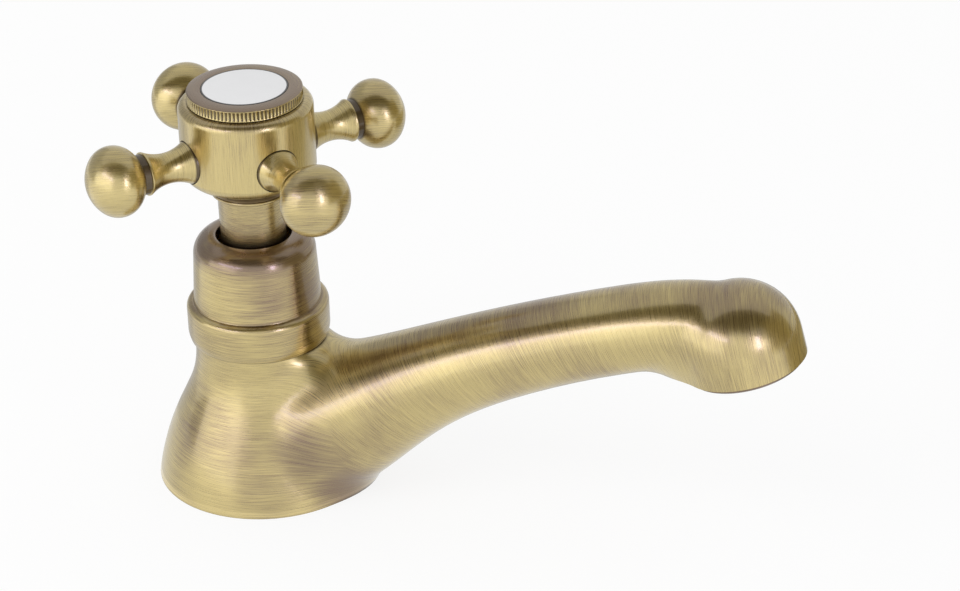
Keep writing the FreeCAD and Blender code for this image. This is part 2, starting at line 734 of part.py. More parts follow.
def valve_chamber(body):
    """Stepped bore for the headwork."""
    bore = cage_radius + s.slip_gap * 2
    wide = s.thread_radius + s.chamber_relief
    thread = s.thread_radius + s.thread_gap
    step = s.seat_height + s.chamber_step
    drawn = Outline(body, "chamber_section")
    drawn.to(0, s.seat_height).to(bore, s.seat_height).to(bore, step).to(wide, step)
    drawn.to(wide, chamber_top - s.thread_lead).to(thread, chamber_top)
    grooved(body, "chamber", drawn.to(thread, body_top).to(0, body_top).close())


def water_way(body):
    """Passage through the spout, its cone and the aerator's socket."""
    inlet_height = s.seat_height + s.water_inlet_rise
    inner = [section(body, "water_start", s.thread_radius, inlet_height, s.water_inlet_angle,
                     s.water_inlet_radius)]
    inner.append(section(body, "water_heel", s.heel_reach, heel_height + s.water_heel_lift,
                         s.water_heel_angle, s.water_radius))
    for name in ("shank", "middle", "rise", "crest"):
        inner.append(spout_section(body, "water_", name, s.water_radius))
    inner.append(section(body, "water_end", *MIDDLES["tip"], s.water_end_angle, s.water_end_radius))
    lofted(body, "SubtractiveLoft", "water", inner, False)
    wall = s.aerator_radius + s.thread_gap
    socket = on_outlet(body, "socket_section").to(0, 0).to(wall, 0).to(wall, s.socket_depth)
    socket.to(s.aerator_radius - s.washer_land, s.socket_depth)
    socket.to(s.aerator_radius - s.dome_land, s.socket_depth + s.dome_depth)
    grooved(body, "socket", socket.to(0, s.socket_depth + s.dome_depth).close())


def bell_cover():
    """Collar and bell, one turned shroud."""
    body = new_body("bell_cover")
    foot = s.shoulder_height
    bore = spigot_radius + s.slip_gap
    ceiling = bell_top - s.bell_roof
    turn_in = s.bell_inner_round
    drawn = Outline(body, "bell_section")
    drawn.to(bore, foot).to(collar_foot_radius, foot)
    drawn.to(collar_radius, foot + s.collar_swell, s.collar_bend)
    drawn.to(collar_radius, collar_head - s.collar_round)
    drawn.to(collar_radius - s.collar_round, collar_head, s.collar_round)
    drawn.to(cone_foot_radius - s.step_depth, collar_head)
    drawn.to(cone_foot_radius, collar_head + s.step_depth)
    drawn.to(cone_head_radius, bell_top - s.bell_round)
    drawn.to(cone_head_radius - s.bell_round, bell_top, s.bell_round)
    drawn.to(bell_hole_radius, bell_top).to(bell_hole_radius, ceiling)
    drawn.to(bell_inside - turn_in, ceiling).to(bell_inside, ceiling - turn_in, -turn_in)
    drawn.to(bell_inside, body_top + s.bell_relief + bore - bell_inside)
    turned(body, "bell", drawn.to(bore, body_top + s.bell_relief).close())


def hexagon(body, name, corner, low, height):
    drawn = Outline(body, name + "_outline", "XY_Plane").shift(z=low)
    for i in range(6):
        drawn.to(corner * cosine(sized(60 * i)), corner * sine(sized(60 * i)))
    padded(body, name, drawn.close(), height)


def cartridge_body():
    """Headwork: cage with windows, thread, flange, hexagon and neck."""
    body = new_body("cartridge_body")
    thread_foot = chamber_top + s.thread_lead
    bore = s.spindle_radius + s.running_gap
    neck = headwork_neck_radius
    drawn = Outline(body, "headwork_section")
    drawn.to(cage_bore, cage_foot).to(cage_radius, cage_foot).to(cage_radius, thread_foot)
    drawn.to(s.thread_radius, thread_foot + s.thread_lead).to(s.thread_radius, flange_foot)
    drawn.to(flange_radius, flange_foot).to(flange_radius, hexagon_foot).to(neck, hexagon_foot)
    drawn.to(neck, headwork_top - s.edge_bevel).to(neck - s.edge_bevel, headwork_top)
    drawn.to(bore, headwork_top).to(bore, cage_roof).to(cage_bore, cage_roof)
    turned(body, "headwork", drawn.close())
    hexagon(body, "hexagon", flange_radius - s.hexagon_inset, hexagon_foot, s.hexagon_height)
    bore_again = Outline(body, "bore_circle", "XY_Plane").shift(z=cage_roof).circle(0, 0, bore).sketch
    pocketed(body, "bore", bore_again, headwork_top - cage_roof, True)
    beside = s.thread_radius
    low, half = cage_foot + s.window_rise, s.window_width / 2
    window = Outline(body, "window_outline").shift(z=-beside)
    window = block(window, -half, low, half, low + s.window_height)
    pocketed(body, "windows", window, 2 * beside, True)
    notch = Outline(body, "notch_outline", "XY_Plane").shift(z=cage_foot)
    notch = block(notch, -beside, -s.lug_width / 2, beside, s.lug_width / 2)
    pocketed(body, "notches", notch, turning_disc_foot - cage_foot, True)


def ports(body, name, low, start):
    """Two water ports opposite each other, sectors of a ring."""
    inner, outer = s.port_inner_radius, port_outer_radius
    near, far = start - s.port_half_angle, start + s.port_half_angle
    for side, sign in (("near", 1), ("far", -1)):
        drawn = Outline(body, "%s_%s_outline" % (name, side), "XY_Plane").shift(z=low)
        drawn.to(sign * inner * cosine(near), sign * inner * sine(near), -inner)
        drawn.to(sign * outer * cosine(near), sign * outer * sine(near))
        drawn.to(sign * outer * cosine(far), sign * outer * sine(far), outer)
        drawn.to(sign * inner * cosine(far), sign * inner * sine(far))
        pocketed(body, "%s_%s" % (name, side), drawn.close(), s.disc_thickness, True)


def ceramic_discs():
    """Fixed disc with its key lugs, and the disc that the spindle turns over it."""
    fixed = ring("fixed_ceramic_disc", 0, cage_bore - s.slip_gap, fixed_disc_foot, turning_disc_foot)
    lugs = Outline(fixed, "lugs_outline", "XY_Plane").shift(z=fixed_disc_foot)
    half_long, half_wide = cage_radius - s.slip_gap, s.lug_width / 2 - s.slip_gap
    padded(fixed, "lugs", block(lugs, -half_long, -half_wide, half_long, half_wide), s.disc_thickness)
    ports(fixed, "fixed_port", fixed_disc_foot, 90)
    turning = ring("rotating_ceramic_disc", 0, disc_radius, turning_disc_foot, turning_disc_head)
    slot = Outline(turning, "slot_outline", "XY_Plane").shift(z=turning_disc_head - s.tongue_depth)
    half_wide = s.tongue_width / 2 + s.slip_gap
    slot = block(slot, -half_wide, -cage_radius, half_wide, cage_radius)
    pocketed(turning, "slot", slot, s.tongue_depth, True)
    ports(turning, "turning_port", turning_disc_foot, 0)


def seat_washer():
    """Rubber seat: a flange under the cage and a spigot under the fixed disc."""
    body = new_body("seat_washer")
    spigot = cage_bore - s.slip_gap
    bore = cage_bore - s.seat_land
    drawn = Outline(body, "seat_section")
    drawn.to(bore, s.seat_height).to(cage_radius, s.seat_height).to(cage_radius, cage_foot)
    drawn.to(spigot, cage_foot).to(spigot, fixed_disc_foot)
    turned(body, "seat", drawn.to(bore, fixed_disc_foot).close())


def teeth(body, name, low, height, crest, depth, count):
    """V-shaped grooves round the axis, leaving narrow crests between them."""
    half = crest * tangent(180 / count) * s.groove_share
    outside = crest + s.running_gap
    drawn = Outline(body, name + "_outline", "XY_Plane").shift(z=low)
    drawn.to(crest - depth, 0).to(outside, -half).to(outside, half)
    cut = pocketed(body, name, drawn.close(), height, True)
    repeated(body, name + "_round", [cut], count)


def spindle():
    """Journal with two ring grooves, drive tongue, circlip groove and splined head."""
    body = new_body("spindle")
    clip_floor = s.spindle_radius - s.circlip_groove
    clip_head = clip_foot + s.circlip_thickness + s.slip_gap / 2
    journal_head = clip_head + s.journal_end
    drawn = Outline(body, "spindle_section")
    drawn.to(0, spindle_flange_foot).to(disc_radius, spindle_flange_foot)
    drawn.to(disc_radius, spindle_flange_head).to(s.spindle_radius, spindle_flange_head)
    for middle in (lower_ring_height, upper_ring_height):
        ring_groove(drawn, s.spindle_radius, s.ring_wire_radius, middle)
    drawn.to(s.spindle_radius, clip_groove_foot).to(clip_floor, clip_groove_foot)
    drawn.to(clip_floor, clip_head).to(s.spindle_radius, clip_head).to(s.spindle_radius, journal_head)
    drawn.to(s.spline_radius, journal_head + s.spindle_radius - s.spline_radius)
    turned(body, "journal", drawn.to(s.spline_radius, spindle_top).to(0, spindle_top).close())
    tongue = Outline(body, "tongue_outline", "XY_Plane").shift(z=turning_disc_head - s.tongue_depth)
    half_wide, half_long = s.tongue_width / 2, s.tongue_length / 2
    tongue = block(tongue, -half_wide, -half_long, half_wide, half_long)
    padded(body, "tongue", tongue, spindle_flange_foot - turning_disc_head + s.tongue_depth)
    depth = s.screw_length + s.hole_spare
    screw = Outline(body, "screw_circle", "XY_Plane").shift(z=spindle_top - depth)
    pocketed(body, "screw_hole", screw.circle(0, 0, s.screw_radius + s.thread_gap).sketch, depth, True)
    foot = hub_foot + s.spline_start
    teeth(body, "spline", foot, spindle_top - foot, s.spline_radius, s.spline_depth, s.spline_count)


def spindle_fittings():
    """What rides on the spindle inside the headwork."""
    seated_ring("lower_spindle_o_ring", s.spindle_radius, s.ring_wire_radius, lower_ring_height)
    seated_ring("upper_spindle_o_ring", s.spindle_radius, s.ring_wire_radius, upper_ring_height)
    ring("thrust_washer", s.spindle_radius + s.running_gap, disc_radius, spindle_flange_head,
         cage_roof)
    clip = ring("spindle_circlip", s.spindle_radius - s.circlip_groove + s.running_gap,
                s.spindle_radius + s.circlip_rim, clip_foot, clip_foot + s.circlip_thickness)
    mouth = Outline(clip, "mouth_outline", "XY_Plane").shift(z=clip_foot)
    mouth = block(mouth, 0, -s.circlip_mouth / 2, sleeve_radius, s.circlip_mouth / 2)
    pocketed(clip, "mouth", mouth, s.circlip_thickness, True)


def spline_bush():
    """Plastic bush between the spindle's spline and the hub, with teeth to match."""
    low = sleeve_head + s.slip_gap
    valley = s.spline_radius - s.spline_depth
    root = s.spline_radius + s.slip_gap
    body = ring("spline_bush", valley + s.slip_gap, bush_radius, low, spindle_top)
    half = valley * tangent(180 / s.spline_count)
    drawn = Outline(body, "bush_tooth_outline", "XY_Plane").shift(z=low, angle=180 / s.spline_count)
    drawn.to(valley, -half).to(root, -s.slip_gap).to(root, s.slip_gap).to(valley, half)
    cut = pocketed(body, "bush_tooth", drawn.close(), spindle_top - low, True)
    repeated(body, "bush_teeth", [cut], s.spline_count)


def handle_hub():
    """Drum with its well, web, bush seat, sleeve seat and four arm seats."""
    body = new_body("handle_hub")
    sleeve_seat = sleeve_radius + s.thread_gap
    bush_seat = bush_radius + s.thread_gap
    well = hub_well_radius + s.thread_gap
    hole = s.screw_radius + s.slip_gap * 2
    drawn = Outline(body, "hub_section")
    drawn.to(sleeve_seat, hub_foot).to(hub_foot_radius, hub_foot)
    drawn.to(s.hub_radius, hub_foot + s.hub_foot_rise, s.hub_foot_round)
    drawn.to(s.hub_radius, hub_top - s.hub_round)
    drawn.to(s.hub_radius - s.hub_round, hub_top, s.hub_round)
    drawn.to(well, hub_top).to(well, hub_well_floor).to(bush_radius, hub_well_floor)
    drawn.to(bush_radius, web_head).to(hole, web_head).to(hole, spindle_top)
    drawn.to(bush_seat, spindle_top).to(bush_seat, sleeve_head).to(sleeve_seat, sleeve_head)
    turned(body, "drum", drawn.close())
    seat = Outline(body, "arm_face_circle", "YZ_Plane").shift(0, arm_height, s.ball_centre)
    seat = seat.circle(0, 0, s.arm_root_radius + s.slip_gap).sketch
    seat = pocketed(body, "arm_face", seat, s.ball_centre - arm_seat)
    thread = Outline(body, "arm_hole_circle", "YZ_Plane").shift(0, arm_height, arm_seat)
    thread = thread.circle(0, 0, s.arm_thread_radius + s.thread_gap).sketch
    thread = pocketed(body, "arm_hole", thread, s.arm_thread_length + s.hole_spare)
    repeated(body, "arm_seats", [seat, thread], len(ARMS))
    swung(body, s.rest_angle)


def swung(body, angle):
    """Turn a body round the valve's axis."""
    body.Placement = Placement(Vector(0, 0, 0), Rotation(Vector(0, 0, 1), angle.value))
    body.setExpression("Placement.Rotation.Angle", angle.text)


def cross_arm(number, where):
    """One turned arm with its ball, screwed into the drum."""
    body = new_body("cross_arm_" + where)
    foot, thread = arm_seat - s.arm_thread_length, s.arm_thread_radius
    rim = arm_seat + s.arm_rim
    collar = s.ball_centre - s.collar_reach
    half = (collar - rim) / 2
    waist = (half * half + s.arm_waist * s.arm_waist) / (2 * s.arm_waist)
    groove = s.arm_collar_radius - s.arm_groove_depth
    drawn = Outline(body, "arm_section").to(foot, 0).to(foot, thread).to(arm_seat, thread)
    drawn.to(arm_seat, s.arm_root_radius).to(rim, s.arm_root_radius)
    drawn.to(collar, s.arm_collar_radius, waist).to(collar + s.arm_collar_width, s.arm_collar_radius)
    drawn.to(collar + s.arm_collar_width + s.arm_collar_bevel, groove)
    turned(body, "arm", ball_outline(drawn, groove).close(), "H_Axis")
    swung(body, s.rest_angle + 360 * number / len(ARMS))
    body.setExpression("Placement.Base.z", arm_height.text)


def ball_outline(drawn, groove):
    """Half section of a ball that is shorter along the arm: a flat arc, its side, a flat arc."""
    length = s.ball_radius - s.ball_flattening
    side = s.ball_side_share * length
    inset = s.ball_radius - side
    flat = (length * length + inset * inset - side * side) / (2 * (length - side))
    offset = flat - length
    meet_along = offset * side / (flat - side)
    meet_radius = flat * inset / (flat - side)
    drawn.to(s.ball_centre + offset - root(flat * flat - groove * groove), groove)
    drawn.to(s.ball_centre - meet_along, meet_radius, -flat)
    drawn.to(s.ball_centre + meet_along, meet_radius, -side)
    return drawn.to(s.ball_centre + length, 0, -flat)


def handle_sleeve():
    """Sleeve that turns in the bell's hole, with its cone and bead under the drum."""
    body = new_body("handle_sleeve")
    foot = bell_top - s.sleeve_overlap
    bead = sleeve_radius + s.bead_stand
    bead_foot = hub_foot - s.sleeve_cone_height
    bead_head = bead_foot + s.sleeve_bead_height
    drawn = Outline(body, "sleeve_section")
    drawn.to(sleeve_bore, foot).to(sleeve_radius - s.sleeve_taper, foot)
    drawn.to(sleeve_radius, bead_foot - s.sleeve_bead_lead).to(bead, bead_foot)
    drawn.to(bead, bead_head - s.sleeve_bead_drop, s.sleeve_bead_bend)
    drawn.to(bead - s.sleeve_bead_drop, bead_head).to(hub_foot_radius - s.cone_ledge, hub_foot)
    drawn.to(sleeve_radius, hub_foot).to(sleeve_radius, sleeve_head)
    turned(body, "sleeve", drawn.to(sleeve_bore, sleeve_head).close())


def handle_screw():
    """Slotted screw with its washer, clamping the web to the spindle."""
    body = ring("handle_screw", 0, s.screw_radius, spindle_top - s.screw_length, screw_seat)
    high = screw_seat + s.screw_head_height
    head, bevel = s.screw_head_radius, s.edge_bevel
    drawn = Outline(body, "head_section").to(0, screw_seat).to(head, screw_seat)
    drawn.to(head, high - bevel).to(head - bevel, high)
    turned(body, "head", drawn.to(0, high).close())
    slot = Outline(body, "slot_outline", "XY_Plane").shift(z=high - s.screw_slot_depth)
    slot = block(slot, -bush_radius, -s.screw_slot_width / 2, bush_radius, s.screw_slot_width / 2)
    pocketed(body, "slot", slot, s.screw_slot_depth, True)
    ring("handle_screw_washer", s.screw_radius + s.slip_gap, screw_washer_radius, web_head, screw_seat)


def index_ring():
    """Knurled ring screwed into the drum, with its o-ring."""
    body = new_body("index_ring")
    bore = hub_well_radius - s.index_spigot_wall
    seat = disc_face_radius + s.slip_gap / 2
    spigot_foot = index_foot - s.index_spigot_length
    ring_height = index_foot - s.index_ring_drop
    drawn = Outline(body, "index_section")
    drawn.to(bore, spigot_foot).to(hub_well_radius, spigot_foot)
    ring_groove(drawn, hub_well_radius, s.index_ring_wire, ring_height)
    drawn.to(hub_well_radius, index_foot).to(index_radius, index_foot)
    drawn.to(index_radius, index_head).to(index_radius - s.edge_bevel, index_head + s.index_edge_rise)
    drawn.to(seat, index_head + s.index_crown).to(seat, index_floor).to(bore, index_floor)
    turned(body, "index_turned", drawn.close())
    teeth(body, "knurl", index_foot + s.knurl_margin, s.index_height - 2 * s.knurl_margin, index_radius,
          s.knurl_depth, s.knurl_count)
    seated_ring("index_o_ring", hub_well_radius, s.index_ring_wire, ring_height)


def index_disc():
    """White disc pressed into the ring, slightly domed."""
    body = new_body("index_disc")
    edge, rise = disc_face_radius, s.disc_dome
    dome = (edge * edge + rise * rise) / (2 * rise)
    rim = index_floor + s.disc_edge
    drawn = Outline(body, "disc_section").to(0, index_floor).to(edge, index_floor)
    turned(body, "disc_turned", drawn.to(edge, rim).to(0, rim + rise, dome).close())


def aerator():
    """Housing, holed insert and washer, all on the axis of the outlet."""
    opening = aerator_bore - s.aerator_ledge
    lip, edge = s.aerator_radius + s.lip_stand, s.edge_bevel
    housing = new_body("aerator_housing")
    drawn = Outline(housing, "housing_section")
    drawn.to(aerator_bore, -s.aerator_lip).to(lip - edge, -s.aerator_lip)
    drawn.to(lip, edge - s.aerator_lip).to(lip, 0).to(s.aerator_radius, 0)
    drawn.to(s.aerator_radius, aerator_top).to(opening, aerator_top).to(opening, aerator_shelf)
    turned(housing, "housing", drawn.to(aerator_bore, aerator_shelf).close())
    insert = new_body("aerator_insert")
    outside = aerator_bore - s.slip_gap
    inside = outside - s.insert_wall
    cup = Outline(insert, "insert_section").to(0, 0).to(outside, 0).to(outside, aerator_shelf)
    cup.to(inside, aerator_shelf).to(inside, s.jet_plate).to(0, s.jet_plate)
    turned(insert, "insert", cup.close())
    jets(insert)
    washer = ring("aerator_washer", opening, s.aerator_radius - s.slip_gap, aerator_top, s.socket_depth)
    for body in (housing, insert, washer):
        at_outlet(body)


def jets(body):
    """Holes in the aerator's plate: one in the middle and two rings."""
    middle = Outline(body, "jet_middle", "XY_Plane").circle(0, 0, s.jet_radius).sketch
    pocketed(body, "middle_jet", middle, s.jet_plate, True)
    for i in (1, 2):
        drawn = Outline(body, "jet_circle_%d" % i, "XY_Plane").circle(s.jet_pitch * i, 0, s.jet_radius)
        cut = pocketed(body, "jet_%d" % i, drawn.sketch, s.jet_plate, True)
        repeated(body, "jet_ring_%d" % i, [cut], s.jet_count * i)


body_casting()
bell_cover()
seated_ring("bell_cover_o_ring", spigot_radius, s.cover_ring_wire, cover_ring_height)
ring("base_seal", seal_inner_radius, seal_inner_radius + s.seal_width, 0, s.seal_depth)
cartridge_body()
ring("cartridge_gasket", s.thread_radius + s.slip_gap, flange_radius, body_top, flange_foot)
ceramic_discs()
seat_washer()
spindle()
spindle_fittings()
spline_bush()
handle_hub()
for number, where in enumerate(ARMS):
    cross_arm(number, where)
handle_sleeve()
handle_screw()
index_ring()
index_disc()
aerator()
doc.recompute()

for thing in doc.Objects:
    if "Invalid" in thing.State or "Error" in thing.State:
        raise ValueError("%s did not build" % thing.Name)
pieces = [thing for thing in doc.Objects if thing.TypeId in ("PartDesign::Body", "Part::Torus")]
for piece in pieces:
    if piece.Shape.isNull() or not piece.Shape.isValid():
        raise ValueError("%s has no valid solid" % piece.Label)

os.makedirs("parts", exist_ok=True)
for piece in pieces:
    piece.Shape.exportStep("parts/%s.step" % piece.Label)
    print("%-26s %10.1f mm3" % (piece.Label, piece.Shape.Volume))
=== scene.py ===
import math

import bmesh
import bpy
from bpy.props import FloatProperty, FloatVectorProperty, IntProperty, PointerProperty
from mathutils import Matrix, Vector


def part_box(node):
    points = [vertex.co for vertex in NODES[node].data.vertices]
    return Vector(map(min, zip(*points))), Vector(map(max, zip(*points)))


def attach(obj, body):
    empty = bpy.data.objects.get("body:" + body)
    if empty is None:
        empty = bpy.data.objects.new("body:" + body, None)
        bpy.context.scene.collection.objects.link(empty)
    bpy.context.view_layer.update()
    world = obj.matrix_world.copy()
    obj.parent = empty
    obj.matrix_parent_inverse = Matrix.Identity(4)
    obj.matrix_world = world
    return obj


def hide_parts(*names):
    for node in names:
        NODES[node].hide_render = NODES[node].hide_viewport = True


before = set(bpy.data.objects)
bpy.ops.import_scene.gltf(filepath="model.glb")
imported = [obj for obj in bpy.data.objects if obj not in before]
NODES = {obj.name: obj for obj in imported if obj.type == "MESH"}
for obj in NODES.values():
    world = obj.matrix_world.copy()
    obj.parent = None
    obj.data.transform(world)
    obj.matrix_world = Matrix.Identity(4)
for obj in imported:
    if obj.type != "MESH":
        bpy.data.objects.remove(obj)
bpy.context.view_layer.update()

bl_info = {
    "name": "Basin Pillar Tap",
    "version": (1, 0, 0),
    "blender": (4, 5, 0),
    "location": "3D View > Sidebar > Tap",
    "description": "Finishes a pillar tap in brushed antique brass and lights it",
    "category": "Object",
}

MM = 0.001
ARMS = [name for name in NODES if name.startswith("cross_arm")]
BOX = {name: [[value / MM for value in corner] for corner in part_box(name)] for name in NODES}
BELL_FOOT, BELL_TOP = BOX["bell_cover"][0][2], BOX["bell_cover"][1][2]
DRUM_FOOT = BOX["handle_hub"][0][2]
RING_FOOT, DISC_FOOT = BOX["index_ring"][0][2], BOX["index_disc"][0][2]
RING_NECK = 4
ARM_HEIGHT = (BOX["cross_arm_front_left"][0][2] + BOX["cross_arm_front_left"][1][2]) / 2

# Places along an arm, in millimetres from the axis of the valve
STUB_START, ARM_SEAT, WAIST_START, WAIST_END, COLLAR_END, GROOVE_START = 8, 14, 14.7, 24.95, 25.22, 25.34


def colour(name, description, default):
    return FloatVectorProperty(
        name=name, description=description, default=default, subtype="COLOR", size=3, min=0, max=1
    )


def length(name, description, millimetres):
    return FloatProperty(
        name=name, description=description, default=millimetres * MM, min=0, unit="LENGTH", precision=5
    )


def share(name, description, default):
    return FloatProperty(name=name, description=description, default=default, min=0, max=1, subtype="FACTOR")


def angle(name, description, degrees):
    return FloatProperty(name=name, description=description, default=math.radians(degrees), subtype="ANGLE")


class TapFinish(bpy.types.PropertyGroup):
    """Colours and surface of the tap"""

    brass: colour("Brass", "Freshly brushed brass under its lacquer", (0.71, 0.575, 0.252))
    # Browning is also the colour of painted shade on the bell's shoulder, the spout's top and the index
    # ring's top.
    browning: colour("Browning", "Oxide that the brushing left on the brass", (0.29, 0.205, 0.135))
    # The crevice colour is oxide and painted shade: it darkens corners, seams, grooves and hollows.
    crevice: colour("Crevice", "Dark oxide in grooves and corners", (0.06, 0.036, 0.022))
    machined: colour("Machined brass", "Plain turned brass inside the tap", (0.78, 0.60, 0.30))
    steel: colour("Steel", "Small steel parts", (0.62, 0.62, 0.61))
    rubber: colour("Rubber", "Seals", (0.022, 0.022, 0.024))
    plastic: colour("Plastic", "Bush, washer and insert of the aerator", (0.72, 0.71, 0.67))
    ceramic: colour("Ceramic", "Valve discs", (0.83, 0.81, 0.76))
    enamel: colour("Enamel", "White index disc", (0.80, 0.80, 0.81))
    rim_line: colour("Rim line", "Dark line round the index disc", (0.03, 0.028, 0.026))
    roughness: share("Roughness", "How matt the brushed brass is", 0.3)
    stretch: share("Stretch", "How far the brush strokes stretch the shine", 0.5)
    lacquer: share("Lacquer", "Strength of the clear lacquer", 0.75)
    lacquer_roughness: share("Lacquer roughness", "How matt the lacquer is", 0.12)
    lacquer_index: FloatProperty(
        name="Lacquer index", description="Refraction of the lacquer", default=1.6, min=1
    )
    stroke_width: length("Stroke width", "Distance between brush strokes", 0.12)
    stroke_length: length("Stroke length", "Length of a brush stroke", 7)
    stroke_depth: length("Stroke depth", "Depth of a brush stroke", 0.004)


class TapShape(bpy.types.PropertyGroup):
    """Sizes of the turned pieces, and the places that the finish follows"""

    collar_radius: length("Collar", "Radius of the bell's collar", 16.1)
    collar_height: length("Collar height", "Height of the collar", 9)
    collar_tuck: length("Collar tuck", "How far the collar draws in at the seam", 0.5)
    cone_foot: length("Cone foot", "Radius of the bell's cone above the collar", 14.45)
    cone_head: length("Cone head", "Radius that the cone would have at the top of the bell", 13.55)
    bell_round: length("Bell rounding", "Rounding of the bell's shoulder", 4.2)
    bell_roof: length("Bell roof", "Thickness of the bell above its bore", 2.2)
    bell_hole: length("Bell hole", "Radius of the hole for the sleeve", 8.5)
    bell_bore: length("Bell bore", "Inner radius of the bell over the headwork", 12.2)
    bell_thread: length("Bell thread", "Inner radius of the bell at its foot", 13.1)
    sleeve_radius: length("Sleeve", "Radius of the sleeve", 7.5)
    sleeve_bore: length("Sleeve bore", "Inner radius of the sleeve", 6.5)
    bead_radius: length("Bead", "Radius of the bead under the drum", 8.9)
    sleeve_cone: length("Sleeve cone", "Upper radius of the cone under the drum", 11.4)
    arm_root: length("Arm root", "Radius of an arm at both ends of its waist", 4.88)
    arm_bend: length("Arm bend", "Radius of the arm's hollow waist", 9.78)
    arm_groove: length("Arm groove", "Radius of the groove behind the ball", 4.5)
    ball_centre: length("Ball centre", "Distance of a ball from the axis", 32)
    ball_radius: length("Ball radius", "Radius of a ball", 7.95)
    ball_half: length("Ball half length", "Half of a ball's length along its arm", 6.5)
    ball_side: share("Ball side", "Radius of the ball's side, against its half length", 0.846)
    rest_angle: angle("Rest angle", "Angle of the first arm from the spout, valve closed", 47)
    ring_radius: length("Index ring", "Radius of the knurled ring", 12.8)
    ring_band: length("Knurled band", "Height of the knurled band", 2.35)
    rib_count: IntProperty(name="Ribs", description="Ribs of the knurled band", default=90, min=12)
    rib_depth: length("Rib depth", "Depth of the knurl", 0.3)
    disc_radius: length("Index disc", "Radius of the white disc", 9.6)
    spout_bend: length("Spout bend", "Radius of the spout's centre line", 170)
    bend_centre_x: length("Bend centre X", "Centre of that bend, in front of the axis", 116.9)
    bend_centre_drop: length("Bend centre drop", "Centre of that bend, below the basin", 118.9)
    spout_start: length("Spout start", "Where the strokes of the spout begin, at the foot", 25.5)


class TapStudio(bpy.types.PropertyGroup):
    """Camera and light"""

    camera_place: FloatVectorProperty(
        name="Camera", description="Where the camera stands", size=3, subtype="XYZ",
        default=(0.2401, -0.59434, 0.38389), precision=5,
    )
    camera_turn: angle("Turn", "View direction, turned from +Y", 17.5)
    camera_drop: angle("Drop", "Downward tilt", 28.121)
    camera_roll: angle("Roll", "Roll of the frame", -1.581)
    lens: FloatProperty(name="Lens", description="Focal length in millimetres", default=120, min=1)
    floor_size: length("Floor", "Side of the floor", 6000)
    floor_colour: colour("Floor colour", "Pale floor", (0.9, 0.9, 0.9))
    floor_glow: share("Floor glow", "How far the floor shows white whatever falls on it", 0.85)
    room_light: FloatProperty(name="Room light", description="Light from the white room", default=0.8, min=0)
    wall_distance: length("Walls", "Distance of the studio's walls from the tap", 800)
    ceiling_height: length("Ceiling", "Height of the studio's ceiling", 760)
    reflector_distance: length("Reflectors", "Distance of the bright reflectors from the tap", 700)
    softbox_distance: length("Softbox distance", "Distance of the soft lamp from the tap", 1300)
    softbox_size: length("Softbox size", "Side of the soft lamp", 900)
    softbox_power: FloatProperty(
        name="Softbox power", description="Power of the soft lamp in watts", default=5, min=0
    )


class Outline:
    """Half section of a turned piece: distance from its axis and height, in millimetres."""

    def __init__(self, radius, height):
        self.bm = bmesh.new()
        self.first = self.last = self.bm.verts.new((radius * MM, 0, height * MM))
        self.rounded = []

    def to(self, radius, height, rounding=0.0):
        """A straight line, with the corner at its end rounded where rounding is given."""
        end = self.bm.verts.new((radius * MM, 0, height * MM))
        self.bm.edges.new((self.last, end))
        if rounding:
            self.rounded.append((end, rounding))
        self.last = end
        return self

    def bow(self, radius, height, bend, steps=10):
        """An arc of radius bend, to the right of its way, or to the left where bend is negative."""
        start, end = self.last.co.copy(), Vector((radius * MM, 0, height * MM))
        chord = end - start
        half, bend = chord.length / 2, bend * MM
        side = Vector((chord.z, 0, -chord.x)).normalized()
        reach = math.copysign(math.sqrt(bend * bend - half * half), bend)
        turn = 2 * math.asin(half / bend)
        swung = bmesh.ops.spin(
            self.bm, geom=[self.last], cent=(start + end) / 2 - side * reach, axis=(0, 1, 0),
            angle=-turn, steps=steps,
        )
        self.last = next(item for item in swung["geom_last"] if isinstance(item, bmesh.types.BMVert))
        return self

    def close(self):
        self.bm.edges.new((self.last, self.first))
        return self

    def turned(self, steps):
        """The outline swept once round its axis, as a closed mesh."""
        bm = self.bm
        for corner, rounding in self.rounded:
            bmesh.ops.bevel(
                bm, geom=[corner], offset=rounding * MM, offset_type="OFFSET",
                segments=3 + round(3 * rounding), profile=0.5, affect="VERTICES", material=-1,
            )
        bmesh.ops.spin(
            bm, geom=bm.verts[:] + bm.edges[:], cent=(0, 0, 0), axis=(0, 0, 1),
            angle=2 * math.pi, steps=steps, use_merge=True,
        )
        bmesh.ops.remove_doubles(bm, verts=bm.verts, dist=0.001 * MM)
        bmesh.ops.recalc_face_normals(bm, faces=bm.faces)
        return bm


def placed(bm, name, material):
    """The mesh as an object with one material."""
    mesh = bpy.data.meshes.new(name)
    bm.to_mesh(mesh)
    bm.free()
    mesh.materials.append(material)
    item = bpy.data.objects.new(name, mesh)
    bpy.context.scene.collection.objects.link(item)
    return item


def finished(bm, name, node, body, material):
    """Make the mesh a piece that stands for a CAD node."""
    piece = placed(bm, name, material)
    piece.data.shade_smooth()
    piece.data.set_sharp_from_angle(angle=math.radians(38))
    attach(piece, body)
    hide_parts(node)
    return piece


